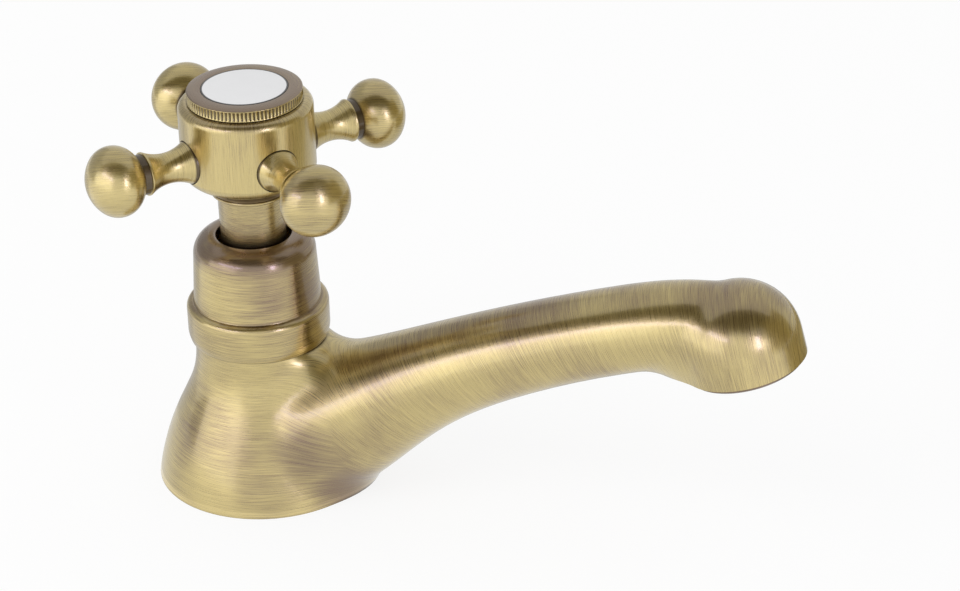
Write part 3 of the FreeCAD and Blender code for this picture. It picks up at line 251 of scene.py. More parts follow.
def bell_mesh(shape):
    """The bell cover: collar, soft step, cone, shoulder and the hole for the sleeve."""
    collar, height = shape.collar_radius / MM, BELL_FOOT + shape.collar_height / MM
    cone, bore = shape.cone_foot / MM, shape.bell_bore / MM
    thread, hole = shape.bell_thread / MM, shape.bell_hole / MM
    swell, ceiling = BELL_FOOT + 2, BELL_TOP - shape.bell_roof / MM
    thread_head, bore_foot = BELL_FOOT + 4.4, BELL_FOOT + 5.3
    drawn = Outline(thread, BELL_FOOT).to(collar - shape.collar_tuck / MM, BELL_FOOT, 0.12)
    drawn.bow(collar, swell, 7).to(collar, height, 1.5).to(cone, height, 0.45)
    drawn.to(shape.cone_head / MM, BELL_TOP, shape.bell_round / MM)
    drawn.to(hole, BELL_TOP, 0.35).to(hole, ceiling, 0.2).to(bore, ceiling, 2)
    return drawn.to(bore, bore_foot).to(thread, thread_head).close().turned(144)


def sleeve_mesh(shape):
    """The sleeve with its bead, and its cone under the drum."""
    radius, bore, bead = shape.sleeve_radius / MM, shape.sleeve_bore / MM, shape.bead_radius / MM
    foot, head = BELL_TOP - 2.7, DRUM_FOOT + 3.5
    neck, bead_foot, bead_head, cone_foot = (DRUM_FOOT - drop for drop in (3.9, 3.4, 2.85, 2.75))
    drawn = Outline(bore, foot).to(radius - 0.15, foot, 0.15).to(radius, neck, 0.25)
    drawn.to(bead, bead_foot, 0.22).to(bead, bead_head, 0.22).to(bead - 0.2, cone_foot)
    drawn.to(shape.sleeve_cone / MM, DRUM_FOOT).to(radius, DRUM_FOOT)
    return drawn.to(radius, head).to(bore, head).close().turned(96)


def arm_mesh(shape, turns):
    """One arm: threaded stub, hollow waist, collar, groove and ball, then laid out from the drum."""
    centre, radius, half = shape.ball_centre / MM, shape.ball_radius / MM, shape.ball_half / MM
    root, groove, stub = shape.arm_root / MM, shape.arm_groove / MM, 2.9
    side = shape.ball_side * half
    inset = radius - side
    flat = (half * half + inset * inset - side * side) / (2 * (half - side))
    offset = flat - half
    along = offset * side / (flat - side)
    meet = flat * inset / (flat - side)
    drawn = Outline(0, STUB_START).to(stub, STUB_START, 0.3).to(stub, ARM_SEAT).to(root, ARM_SEAT)
    drawn.to(root, WAIST_START).bow(root, WAIST_END, -shape.arm_bend / MM, 16)
    drawn.to(root - 0.02, COLLAR_END).to(groove, GROOVE_START)
    drawn.to(groove, centre + offset - math.sqrt(flat * flat - groove * groove))
    drawn.bow(meet, centre - along, flat, 6).bow(meet, centre + along, side, 22)
    drawn.bow(0, centre + half, flat, 12)
    bm = drawn.turned(72)
    bearing = shape.rest_angle + turns * math.pi / 2
    laid = Matrix.Rotation(bearing, 4, "Z") @ Matrix.Rotation(math.pi / 2, 4, "Y")
    bmesh.ops.transform(bm, matrix=Matrix.Translation((0, 0, ARM_HEIGHT * MM)) @ laid, verts=bm.verts)
    return bm


def ring_mesh(shape):
    """The index ring, with ribs pressed into its band."""
    radius, seat = shape.ring_radius / MM, shape.disc_radius / MM + 0.05
    bore, neck, foot = 7.6, 11, RING_FOOT + RING_NECK
    head = foot + shape.ring_band / MM
    drawn = Outline(bore, RING_FOOT).to(neck, RING_FOOT, 0.3).to(neck, foot).to(radius, foot)
    drawn.to(radius, foot + 0.12).to(radius, foot + 0.26).to(radius, head - 0.26).to(radius, head - 0.12)
    drawn.to(radius, head + 0.02, 0.1).to(radius - 0.35, head + 0.12).to(seat, head + 0.3, 0.12)
    bm = drawn.to(seat, DISC_FOOT).to(bore, DISC_FOOT).close().turned(shape.rib_count * 4)
    low, high = (foot + 0.2) * MM, (head - 0.2) * MM
    band = [v for v in bm.verts if low < v.co.z < high and v.co.xy.length > (radius - 0.1) * MM]
    for quarter, depth in ((0, 1.0), (1, 0.45), (3, 0.45)):
        lines = [v for v in band if rib_quarter(v, shape.rib_count) == quarter]
        scale = 1 - depth * shape.rib_depth / shape.ring_radius
        bmesh.ops.scale(bm, vec=(scale, scale, 1), verts=lines)
    return bm


def rib_quarter(vert, count):
    """Which quarter of a rib a point of the band is on."""
    return round(math.atan2(vert.co.y, vert.co.x) / (2 * math.pi) * count * 4) % 4


def disc_mesh(shape):
    """The white disc, slightly domed."""
    radius, rise, edge = shape.disc_radius / MM, 0.25, DISC_FOOT + 1.5
    dome = (radius * radius + rise * rise) / (2 * rise)
    drawn = Outline(0, DISC_FOOT).to(radius, DISC_FOOT).to(radius, edge)
    return drawn.bow(0, edge + rise, dome, 12).turned(96)


class Nodes:
    """A node tree that is filled one node at a time."""

    def __init__(self, tree):
        self.tree = tree

    def feed(self, socket, value):
        if isinstance(value, bpy.types.NodeSocket):
            self.tree.links.new(value, socket)
        elif value is not None:
            socket.default_value = value

    def add(self, kind, inputs=None, **settings):
        """One node with its settings. inputs names or numbers the sockets to feed."""
        node = self.tree.nodes.new(kind)
        for name, value in settings.items():
            setattr(node, name, value)
        for key, value in (inputs or {}).items():
            self.feed(node.inputs[key], value)
        return node

    def maths(self, operation, first, second=None, clamp=False):
        inputs = {0: first, 1: second}
        return self.add("ShaderNodeMath", inputs, operation=operation, use_clamp=clamp).outputs[0]

    def total(self, *values):
        """The sum of several numbers."""
        result = values[0]
        for value in values[1:]:
            result = self.maths("ADD", result, value)
        return result

    def times(self, first, second):
        return self.maths("MULTIPLY", first, second)

    def vector(self, operation, first, second=None, scale=None):
        inputs = {0: first, 1: second}
        if scale is not None:
            inputs["Scale"] = scale
        node = self.add("ShaderNodeVectorMath", inputs, operation=operation)
        return node.outputs["Value" if operation in ("LENGTH", "DISTANCE") else "Vector"]

    def split(self, vector):
        return self.add("ShaderNodeSeparateXYZ", {0: vector}).outputs

    def join(self, x=0.0, y=0.0, z=0.0):
        return self.add("ShaderNodeCombineXYZ", {0: x, 1: y, 2: z}).outputs[0]

    def ramp(self, value, low, high, start=0.0, end=1.0):
        """Smooth step from start to end while value goes from low to high."""
        inputs = {"Value": value, "From Min": low, "From Max": high, "To Min": start, "To Max": end}
        return self.add("ShaderNodeMapRange", inputs, interpolation_type="SMOOTHSTEP").outputs[0]

    def noise(self, place, scale, detail=2.0, roughness=0.5):
        inputs = {"Vector": place, "Scale": scale, "Detail": detail, "Roughness": roughness}
        return self.add("ShaderNodeTexNoise", inputs).outputs[0]

    def mix(self, factor, first, second):
        return self.add("ShaderNodeMix", {0: factor, 6: first, 7: second}, data_type="RGBA").outputs[2]

    def blend(self, factor, first, second):
        """A number between first and second."""
        return self.add("ShaderNodeMix", {0: factor, 2: first, 3: second}, data_type="FLOAT").outputs[0]

    def mix_vector(self, factor, first, second):
        return self.add("ShaderNodeMix", {0: factor, 4: first, 5: second}, data_type="VECTOR").outputs[1]

    def group(self, tree, **inputs):
        node = self.add("ShaderNodeGroup", node_tree=tree)
        for name, value in inputs.items():
            self.feed(node.inputs[name.replace("_", " ")], value)
        return node.outputs


def rgba(values):
    return (*values, 1.0)


def shared(build, name):
    """The shader node group of that name, built at its first use."""
    return bpy.data.node_groups.get(name) or build(name)


def group_tree(name, inputs, outputs):
    """An empty shader node group with its sockets."""
    tree = bpy.data.node_groups.new(name, "ShaderNodeTree")
    for label, kind, default in inputs:
        socket = tree.interface.new_socket(label, in_out="INPUT", socket_type="NodeSocket" + kind)
        if default is not None:
            socket.default_value = default
    for label, kind in outputs:
        tree.interface.new_socket(label, in_out="OUTPUT", socket_type="NodeSocket" + kind)
    nodes = Nodes(tree)
    return nodes, nodes.add("NodeGroupInput").outputs, nodes.add("NodeGroupOutput").inputs


def millimetre_group(name):
    """Object coordinates in millimetres."""
    n, _, out = group_tree(name, [], [("Place", "Vector")])
    place = n.add("ShaderNodeTexCoord").outputs["Object"]
    n.feed(out["Place"], n.vector("SCALE", place, scale=1 / MM))
    return n.tree


STROKE_INPUTS = [("Place", "Vector", None), ("Width", "Float", 0.12), ("Length", "Float", 7.0)]
BEND_INPUTS = [("Bend", "Float", 170.0), ("Centre X", "Float", 117.0), ("Centre Drop", "Float", 119.0)]

# Radius in millimetres at which strokes have just the width and length that are asked for
TRUE_RADIUS = 14.0


def ring_stroke_group(name):
    """Strokes that run round the axis of the valve."""
    n, given, out = group_tree(name, STROKE_INPUTS, [("Grain", "Vector")])
    x, y, z = n.split(given["Place"])
    radius = n.vector("LENGTH", n.join(x, y))
    turns = n.maths("DIVIDE", TRUE_RADIUS, n.times(n.maths("MAXIMUM", radius, 0.01), given["Length"]))
    across = n.maths("DIVIDE", n.total(z, n.times(radius, 0.35)), given["Width"])
    n.feed(out["Grain"], n.join(n.times(x, turns), n.times(y, turns), across))
    return n.tree


def drum_stroke_group(name):
    """Strokes that run up and down the drum, and from its rim inwards on top."""
    n, given, out = group_tree(name, STROKE_INPUTS, [("Grain", "Vector")])
    x, y, z = n.split(given["Place"])
    radius = n.maths("MAXIMUM", n.vector("LENGTH", n.join(x, y)), 0.01)
    turns = n.maths("DIVIDE", TRUE_RADIUS, n.times(radius, given["Width"]))
    along = n.maths("DIVIDE", n.maths("SUBTRACT", z, radius), given["Length"])
    n.feed(out["Grain"], n.join(n.times(x, turns), along, n.times(y, turns)))
    return n.tree


def spout_stroke_group(name):
    """Strokes that run round the spout, square to its bent centre line."""
    n, given, out = group_tree(name, STROKE_INPUTS + BEND_INPUTS, [("Grain", "Vector")])
    x, y, z = n.split(given["Place"])
    ahead = n.maths("SUBTRACT", x, given["Centre X"])
    above = n.maths("ADD", z, given["Centre Drop"])
    along = n.times(n.maths("ARCTAN2", ahead, above), given["Bend"])
    outward = n.vector("LENGTH", n.join(ahead, above))
    slant = n.total(n.times(y, 0.12), n.times(outward, 0.26))
    across = n.maths("DIVIDE", n.maths("ADD", along, slant), given["Width"])
    stroke = given["Length"]
    n.feed(out["Grain"], n.join(n.maths("DIVIDE", y, stroke), n.maths("DIVIDE", outward, stroke), across))
    return n.tree


def brushing_group(name):
    """Fine brush strokes in two crossing directions."""
    n, given, out = group_tree(
        name,
        [("Grain", "Vector", None), ("Cross", "Float", 2.0)],
        [("Strokes", "Float"), ("Bands", "Float")],
    )
    x, y, z = n.split(given["Grain"])
    slant = n.times(x, given["Cross"])
    first = n.noise(n.join(x, y, n.maths("ADD", z, slant)), 1.0, 3.0, 0.65)
    second = n.noise(n.join(n.maths("ADD", x, 9.0), y, n.maths("SUBTRACT", z, slant)), 1.1, 3.0, 0.65)
    n.feed(out["Strokes"], n.ramp(n.maths("ADD", first, second), 0.72, 1.28))
    n.feed(out["Bands"], n.noise(n.vector("MULTIPLY", given["Grain"], (0.5, 0.5, 0.12)), 1.0))
    return n.tree


def spot_group(name):
    """A soft patch round one place, from 1 in its middle to 0."""
    n, given, out = group_tree(
        name,
        [("Place", "Vector", None), ("Middle", "Vector", None), ("Size", "Float", 8.0)],
        [("Mask", "Float")],
    )
    away = n.maths("DIVIDE", n.vector("DISTANCE", given["Place"], given["Middle"]), given["Size"])
    n.feed(out["Mask"], n.ramp(away, 1.0, 0.2))
    return n.tree


def browning_group(name):
    """Soft patches of oxide, broken up by the brush strokes; where the amount carries painted shade, so does
    the mask.
    """
    n, given, out = group_tree(
        name,
        [
            ("Place", "Vector", None), ("Strokes", "Float", 0.5), ("Bands", "Float", 0.5),
            ("Amount", "Float", 0.3),
        ],
        [("Mask", "Float")],
    )
    patch = n.maths("SUBTRACT", n.noise(given["Place"], 0.055), 0.5)
    strokes = n.times(n.maths("SUBTRACT", given["Strokes"], 0.5), -0.34)
    bands = n.times(n.maths("SUBTRACT", given["Bands"], 0.5), 0.14)
    n.feed(out["Mask"], n.ramp(n.total(given["Amount"], patch, strokes, bands), 0.1, 0.9))
    return n.tree


def antique_group(name):
    """Colour and roughness of the brushed, browned brass, darkened in crevices with oxide and painted shade.
    """
    n, given, out = group_tree(
        name,
        [
            ("Mask", "Float", 0.3), ("Strokes", "Float", 0.5), ("Crevice", "Float", 0.0),
            ("Dull", "Color", None), ("Fresh", "Color", None), ("Browned", "Color", None),
            ("Dirt", "Color", None), ("Smoothest", "Float", 0.26),
        ],
        [("Color", "Color"), ("Roughness", "Float")],
    )
    browned = n.mix(given["Mask"], n.mix(given["Strokes"], given["Dull"], given["Fresh"]), given["Browned"])
    n.feed(out["Color"], n.mix(given["Crevice"], browned, given["Dirt"]))
    rough = n.maths("ADD", given["Smoothest"], n.times(given["Strokes"], 0.08))
    n.feed(out["Roughness"], n.maths("ADD", rough, n.times(given["Crevice"], 0.2), clamp=True))
    return n.tree


# Brown patches, on the bell partly painted shade: middle and size in millimetres, and strength
CASTING_PATCHES = (
    ((-8, -17, 19), 13, 0.3),
    ((17, -17, 16), 12, 0.28),
    ((23, -13, 3), 11, 0.32),
    ((-3, -25, 15), 11, 0.14),
    ((60, 0, 52), 26, 0.1),
)
BELL_BROWNING_AND_SHADE = (((6, -13, 51), 10, 0.24), ((15, -5, 50), 9, 0.3))


class Finishes:
    """The shared node groups, and the materials made from them."""

    def __init__(self, finish, shape):
        self.finish = finish
        self.shape = shape
        self.width, self.stroke = finish.stroke_width / MM, finish.stroke_length / MM
        self.millimetres = shared(millimetre_group, "Millimetres")
        self.ring_strokes = shared(ring_stroke_group, "Strokes Round the Axis")
        self.drum_strokes = shared(drum_stroke_group, "Strokes Up the Drum")
        self.spout_strokes = shared(spout_stroke_group, "Strokes Round the Spout")
        self.brushing = shared(brushing_group, "Brushing")
        self.spot = shared(spot_group, "Soft Patch")
        self.browning = shared(browning_group, "Browning")
        self.antique = shared(antique_group, "Antique Brass")

    def start(self, name):
        """A new material with a node tree, its Principled shader and its place in millimetres."""
        material = bpy.data.materials.new(name)
        material.use_nodes = True
        n = Nodes(material.node_tree)
        shader = material.node_tree.nodes["Principled BSDF"]
        place = n.group(self.millimetres)["Place"]
        return material, n, shader, place

    def corners(self, n, reach):
        """How deep in a corner a point lies, from 0 to 1, by ambient occlusion: where painted shade and oxide
        go.
        """
        shade = n.add("ShaderNodeAmbientOcclusion", {"Distance": reach * MM}, samples=8)
        return n.ramp(shade.outputs["AO"], 0.8, 0.3)

    def grain(self, n, strokes, place, scale=1.0, **bend):
        """The coordinates along and across one kind of stroke."""
        sizes = {"Width": self.width * scale, "Length": self.stroke * scale}
        return n.group(strokes, Place=place, **sizes, **bend)["Grain"]

    def patches(self, n, place, spots):
        """The strongest of several soft patches, each a place, a size and an amount."""
        strongest = 0.0
        for middle, size, amount in spots:
            mask = n.group(self.spot, Place=place, Middle=middle, Size=size)["Mask"]
            strongest = n.maths("MAXIMUM", n.times(mask, amount), strongest)
        return strongest

    def brushed(self, n, grain, cross=2.0):
        """The strokes and their wider bands on one grain."""
        made = n.group(self.brushing, Grain=grain, Cross=cross)
        return made["Strokes"], made["Bands"]

    def lacquered(self, n, shader, strokes, place, amount, reach=1.5, crevice=0.0):
        """Connect brushed antique brass under a clear lacquer."""
        finish = self.finish
        fine, bands = strokes
        # The amount is browning, and in places painted shade as well.
        mask = n.group(self.browning, Place=place, Strokes=fine, Bands=bands, Amount=amount)["Mask"]
        # Painted shade with oxide: corners by ambient occlusion, and the seams, grooves and hollows that each
        # finish gives, take the crevice colour.
        dark = n.maths("MAXIMUM", self.corners(n, reach), crevice)
        look = n.group(
            self.antique, Mask=mask, Strokes=fine, Crevice=dark,
            Dull=rgba([0.86 * c for c in finish.brass]),
            Fresh=rgba([min(1.0, 1.06 * c) for c in finish.brass]),
            Browned=rgba(finish.browning), Dirt=rgba(finish.crevice), Smoothest=finish.roughness - 0.04,
        )
        relief = n.add("ShaderNodeBump", {"Height": fine, "Distance": finish.stroke_depth})
        n.feed(shader.inputs["Base Color"], look["Color"])
        n.feed(shader.inputs["Roughness"], look["Roughness"])
        n.feed(shader.inputs["Normal"], relief.outputs[0])
        shader.inputs["Metallic"].default_value = 1.0
        shader.inputs["Anisotropic"].default_value = finish.stretch
        shader.inputs["Anisotropic Rotation"].default_value = 0.25
        shader.inputs["Coat Weight"].default_value = finish.lacquer
        shader.inputs["Coat Roughness"].default_value = finish.lacquer_roughness
        shader.inputs["Coat IOR"].default_value = finish.lacquer_index

    def casting(self):
        """Level strokes on base and neck, strokes round the spout, brown where the brush went less, with
        painted shade on the spout's top and under the collar.
        """
        material, n, shader, place = self.start("Cast Brass")
        shape = self.shape
        ring = self.grain(n, self.ring_strokes, place)
        bend = {
            "Bend": shape.spout_bend / MM,
            "Centre_X": shape.bend_centre_x / MM,
            "Centre_Drop": shape.bend_centre_drop / MM,
        }
        spout = self.grain(n, self.spout_strokes, place, **bend)
        x, y, z = n.split(place)
        start = shape.spout_start / MM
        on_spout = n.ramp(n.total(x, n.times(z, 0.25)), start, start + 2.5)
        level, round_spout = self.brushed(n, ring), self.brushed(n, spout)
        strokes = [n.blend(on_spout, level[index], round_spout[index]) for index in (0, 1)]
        # Browning and painted shade: faces that look up along the spout are browned more, for the dim light
        # from above.
        up = n.split(n.add("ShaderNodeNewGeometry").outputs["Normal"])[2]
        top_shade_and_browning = n.times(n.ramp(up, 0.55, 0.9), n.ramp(x, 16.0, 30.0))
        patches = self.patches(n, place, CASTING_PATCHES)
        # Painted shadow: a thin dark line on the casting under the collar's edge.
        from_seam = n.maths("ABSOLUTE", n.maths("SUBTRACT", z, BELL_FOOT))
        seam = n.times(n.ramp(from_seam, 0.25, 0.05), n.ramp(n.vector("LENGTH", n.join(x, y)), 17.5, 16.5))
        amount = n.total(0.32, n.times(top_shade_and_browning, 0.16), patches)
        self.lacquered(n, shader, strokes, place, amount, 1.5, seam)
        own = n.split(n.add("ShaderNodeTexCoord").outputs["Object"])
        ahead = n.maths("SUBTRACT", shape.bend_centre_x, own[0])
        above = n.maths("ADD", own[2], shape.bend_centre_drop)
        follow = n.ramp(own[0], 18 * MM, 30 * MM)
        lengthways = n.vector("NORMALIZE", n.join(above, 0.0, ahead))
        n.feed(shader.inputs["Tangent"], n.mix_vector(follow, (0, 0, 1), lengthways))
        shader.inputs["Anisotropic Rotation"].default_value = 0.0
        return material

    def bell(self):
        """Strong level strokes, with a brown shoulder that is partly painted shade from the handle above, and
        painted shadow at the seam.
        """
        material, n, shader, place = self.start("Bell Brass")
        ring = self.grain(n, self.ring_strokes, place, 1.3)
        z = n.split(place)[2]
        # Browning and painted shade: the shoulder darkens towards the top, under the handle.
        shoulder = n.ramp(z, BELL_TOP - 6.5, BELL_TOP - 1.5, 0.0, 0.5)
        step = n.ramp(n.maths("ABSOLUTE", n.maths("SUBTRACT", z, BELL_FOOT + 9.2)), 0.7, 0.1, 0.0, 0.2)
        # Painted shadow: a dark line along the bell's foot at the seam.
        seam = n.ramp(z, BELL_FOOT + 0.25, BELL_FOOT + 0.05, 0.0, 0.9)
        # Browning and painted shade: patches at the bell's middle and right side stand in for darker
        # reflections.
        middle = self.patches(n, place, BELL_BROWNING_AND_SHADE)
        amount = n.total(0.38, shoulder, step, middle)
        self.lacquered(n, shader, self.brushed(n, ring), place, amount, 0.9, seam)
        return material

    def sleeve(self):
        """Level strokes, dark at the cone under the drum, with painted shadow where it sinks into the bell's
        hole.
        """
        material, n, shader, place = self.start("Sleeve Brass")
        ring = self.grain(n, self.ring_strokes, place)
        z = n.split(place)[2]
        cone = n.ramp(z, DRUM_FOOT - 2.9, DRUM_FOOT - 2.5, 0.0, 0.75)
        # Painted shadow: the sleeve darkens as it goes down into the bell's hole.
        hole_shadow = n.ramp(z, BELL_TOP + 0.4, BELL_TOP - 0.6, 0.0, 0.9)
        self.lacquered(n, shader, self.brushed(n, ring), place, n.maths("ADD", cone, 0.4), 2.5, hole_shadow)
        return material

    def drum(self):
        """Fine strokes up the drum, browned towards its top."""
        material, n, shader, place = self.start("Drum Brass")
        grain = self.grain(n, self.drum_strokes, place)
        z = n.split(place)[2]
        amount = n.ramp(z, DRUM_FOOT + 16.5, DRUM_FOOT + 18.7, 0.14, 0.42)
        self.lacquered(n, shader, self.brushed(n, grain, 1.0), place, amount, 1.2)
        return material

    def knurled(self):
        """Bright ribs, grooves darkened with oxide and painted shade, and a brown top that is partly painted
        shade.
        """
        material, n, shader, place = self.start("Knurled Brass")
        ring = self.grain(n, self.ring_strokes, place)
        x, y, z = n.split(place)
        radius = n.vector("LENGTH", n.join(x, y))
        rim = self.shape.ring_radius / MM
        head = RING_FOOT + RING_NECK + self.shape.ring_band / MM
        on_band = n.times(n.ramp(z, head - 0.1, head - 0.2), n.ramp(radius, rim - 0.6, rim - 0.4))
        # Oxide and painted shade in the grooves between the ribs.
        groove = n.times(n.ramp(radius, rim - 0.06, rim - 0.2), on_band)
        # Browning and painted shade on the ring's top, which sees the dim light above.
        amount = n.ramp(z, head - 0.1, head + 0.1, 0.0, 0.95)
        self.lacquered(n, shader, self.brushed(n, ring), place, amount, 0.4, n.times(groove, 0.8))
        return material

    def arms(self):
        """Strokes round the waists; on the balls they lie nearly level."""
        material, n, shader, place = self.start("Arm Brass")
        bearing = self.shape.rest_angle
        turned = n.add("ShaderNodeVectorRotate", {"Vector": place, "Angle": -bearing}, rotation_type="Z_AXIS")
        x, y, z = n.split(turned.outputs[0])
        rise = n.maths("SUBTRACT", z, ARM_HEIGHT)
        far, near = n.maths("ABSOLUTE", x), n.maths("ABSOLUTE", y)
        out, side = n.maths("MAXIMUM", far, near), n.maths("MINIMUM", far, near)
        sizes = (self.stroke, self.stroke, self.width)
        waist = n.vector("DIVIDE", n.join(side, rise, out), sizes)
        tilted = n.total(n.times(x, 0.22), n.times(y, 0.41), n.times(rise, 0.88))
        ball = n.vector("DIVIDE", n.join(x, y, tilted), sizes)
        on_waist, on_ball = self.brushed(n, waist), self.brushed(n, ball)
        split = n.ramp(out, 25.0, 26.0)
        strokes = [n.blend(split, on_waist[index], on_ball[index]) for index in (0, 1)]
        # Painted shadow at each arm's root against the drum and in the groove behind its ball.
        root = n.ramp(out, WAIST_START + 0.4, WAIST_START + 0.1, 0.0, 0.85)
        gap = n.times(n.ramp(out, 25.25, 25.4), n.ramp(out, 27.1, 26.7, 0.0, 0.9))
        amount = n.ramp(out, 24.0, 27.0, 0.16, 0.32)
        self.lacquered(n, shader, strokes, place, amount, 1.2, n.maths("MAXIMUM", root, gap))
        return material

    def rim(self):
        """The lip under the outlet, dark with age and with painted shade."""
        material, n, shader, place = self.start("Rim Brass")
        ring = self.grain(n, self.ring_strokes, place)
        # Fully browned, and darkened all over with the crevice colour as painted shade.
        self.lacquered(n, shader, self.brushed(n, ring), place, 1.1, 1.5, 0.3)
        return material

    def disc(self):
        """White enamel with a thin dark line at its rim."""
        finish = self.finish
        material, n, shader, place = self.start("White Enamel")
        x, y, _ = n.split(place)
        radius = n.vector("LENGTH", n.join(x, y))
        edge = self.shape.disc_radius / MM
        cloud = n.noise(place, 0.25, 3.0)
        glaze = n.mix(cloud, rgba([0.96 * c for c in finish.enamel]), rgba(finish.enamel))
        line = n.ramp(radius, edge - 0.42, edge - 0.3)
        n.feed(shader.inputs["Base Color"], n.mix(line, glaze, rgba(finish.rim_line)))
        n.feed(shader.inputs["Roughness"], n.ramp(cloud, 0.3, 0.7, 0.16, 0.22))
        relief = n.add("ShaderNodeBump", {"Height": n.noise(place, 0.6), "Distance": 0.02 * MM})
        n.feed(shader.inputs["Normal"], relief.outputs[0])
        shader.inputs["Coat Weight"].default_value = 0.6
        shader.inputs["Coat Roughness"].default_value = 0.05
        return material

    def plain(self, name, base, roughness, metallic=0.0):
        """A fine-grained finish for the pieces inside the tap."""
        material, n, shader, place = self.start(name)
        speckle = n.noise(place, 3.0, 3.0, 0.6)
        tone = n.maths("ADD", n.times(speckle, 0.5), n.times(n.noise(place, 0.12), 0.5))
        darker = rgba([0.8 * c for c in base])
        n.feed(shader.inputs["Base Color"], n.mix(n.ramp(tone, 0.35, 0.65), darker, rgba(base)))
        n.feed(shader.inputs["Roughness"], n.ramp(speckle, 0.2, 0.8, roughness - 0.05, roughness + 0.08))
        relief = n.add("ShaderNodeBump", {"Height": speckle, "Distance": 0.01 * MM, "Strength": 0.6})
        n.feed(shader.inputs["Normal"], relief.outputs[0])
        shader.inputs["Metallic"].default_value = metallic
        return material


def finishes(context):
    """The finishes, with the values of the scene's panel."""
    return Finishes(context.scene.tap_finish, context.scene.tap_shape)


def dress(material, *names):
    """Give CAD nodes one material."""
    for name in names:
        mesh = NODES[name].data
        mesh.materials.clear()
        mesh.materials.append(material)


class TAP_OT_casting(bpy.types.Operator):
    """Brush the casting, and darken the lip under its outlet with age and painted shade"""

    bl_idname = "tap.casting"
    bl_label = "Casting"

    def execute(self, context):
        made = finishes(context)
        dress(made.casting(), "body_casting")
        dress(made.rim(), "aerator_housing")
        return {"FINISHED"}


class TAP_OT_bell(bpy.types.Operator):
    """Turn the bell cover"""

    bl_idname = "tap.bell"
    bl_label = "Bell Cover"

    def execute(self, context):
        mesh = bell_mesh(context.scene.tap_shape)
        material = finishes(context).bell()
        finished(mesh, "bell_cover_turned", "bell_cover", "tap_body", material)
        return {"FINISHED"}


class TAP_OT_sleeve(bpy.types.Operator):
    """Turn the handle's sleeve"""

    bl_idname = "tap.sleeve"
    bl_label = "Sleeve"

    def execute(self, context):
        mesh = sleeve_mesh(context.scene.tap_shape)
        material = finishes(context).sleeve()
        finished(mesh, "handle_sleeve_turned", "handle_sleeve", "handle", material)
        return {"FINISHED"}


class TAP_OT_cross(bpy.types.Operator):
    """Brush the drum and turn its four arms"""

    bl_idname = "tap.cross"
    bl_label = "Cross Handle"

    def execute(self, context):
        made = finishes(context)
        dress(made.drum(), "handle_hub")
        material = made.arms()
        for name in ARMS:
            low, high = BOX[name]
            middle = math.atan2(low[1] + high[1], low[0] + high[0])
            turns = round((middle - made.shape.rest_angle) / (math.pi / 2))
            mesh = arm_mesh(made.shape, turns)
            finished(mesh, name + "_turned", name, "handle", material)
        return {"FINISHED"}


class TAP_OT_index(bpy.types.Operator):
    """Knurl the index ring and set the white disc in it"""

    bl_idname = "tap.index"
    bl_label = "Index"

    def execute(self, context):
        made = finishes(context)
        ring, disc = ring_mesh(made.shape), disc_mesh(made.shape)
        finished(ring, "index_ring_knurled", "index_ring", "handle", made.knurled())
        finished(disc, "index_disc_enamelled", "index_disc", "handle", made.disc())
        return {"FINISHED"}


class TAP_OT_inside(bpy.types.Operator):
    """Finish the pieces inside the tap"""

    bl_idname = "tap.inside"
    bl_label = "Inside"

    def execute(self, context):
        made = finishes(context)
        finish = made.finish
        machined = made.plain("Machined Brass", finish.machined, 0.3, metallic=1.0)
        dress(machined, "cartridge_body", "spindle")
        steel = made.plain("Steel", finish.steel, 0.3, metallic=1.0)
        dress(steel, "spindle_circlip", "handle_screw", "handle_screw_washer")
        rubber = made.plain("Rubber", finish.rubber, 0.6)
        dress(rubber, "bell_cover_o_ring", "base_seal", "cartridge_gasket", "seat_washer")
        dress(rubber, "lower_spindle_o_ring", "upper_spindle_o_ring", "index_o_ring", "aerator_washer")
        plastic = made.plain("Pale Plastic", finish.plastic, 0.45)
        dress(plastic, "thrust_washer", "spline_bush", "aerator_insert")
        dress(made.plain("Ceramic", finish.ceramic, 0.2), "fixed_ceramic_disc", "rotating_ceramic_disc")
        return {"FINISHED"}


TAP_MIDDLE = Vector((0.04, 0, 0.05))


def studio_direction(studio, side, rise):
    """Unit vector towards a place in the studio, side and rise in degrees seen from the camera."""
    turn = studio.camera_turn
    ahead = Vector((math.sin(turn), -math.cos(turn), 0))
    right = Vector((math.cos(turn), math.sin(turn), 0))
    side, rise = math.radians(side), math.radians(rise)
    level = ahead * math.cos(side) + right * math.sin(side)
    return level * math.cos(rise) + Vector((0, 0, math.sin(rise)))


def looking_back(direction):
    """Turn that makes -Z look back along a direction."""
    return direction.to_track_quat("Z", "Y").to_matrix().to_4x4()


def facing_tap(studio, side, rise, distance):
    """A place at some distance from the tap, turned so that -Z looks at the tap."""
    direction = studio_direction(studio, side, rise)
    return Matrix.Translation(TAP_MIDDLE + direction * distance) @ looking_back(direction)


def softbox(studio, name, side, rise):
    """A soft lamp that looks at the tap, left out of the metal's shine."""
    lamp = bpy.data.lights.new(name, "AREA")
    lamp.shape = "SQUARE"
    lamp.size = studio.softbox_size
    lamp.energy = studio.softbox_power
    item = bpy.data.objects.new(name, lamp)
    bpy.context.scene.collection.objects.link(item)
    item.matrix_world = facing_tap(studio, side, rise, studio.softbox_distance)
    item.visible_camera = False
    item.visible_glossy = False


def rectangle(width, height, matrix):
    """A flat mesh, laid out by a matrix."""
    bm = bmesh.new()
    bmesh.ops.create_grid(bm, x_segments=1, y_segments=1, size=0.5)
    bmesh.ops.scale(bm, vec=(width, height, 1), verts=bm.verts)
    bmesh.ops.transform(bm, matrix=matrix, verts=bm.verts)
    return bm


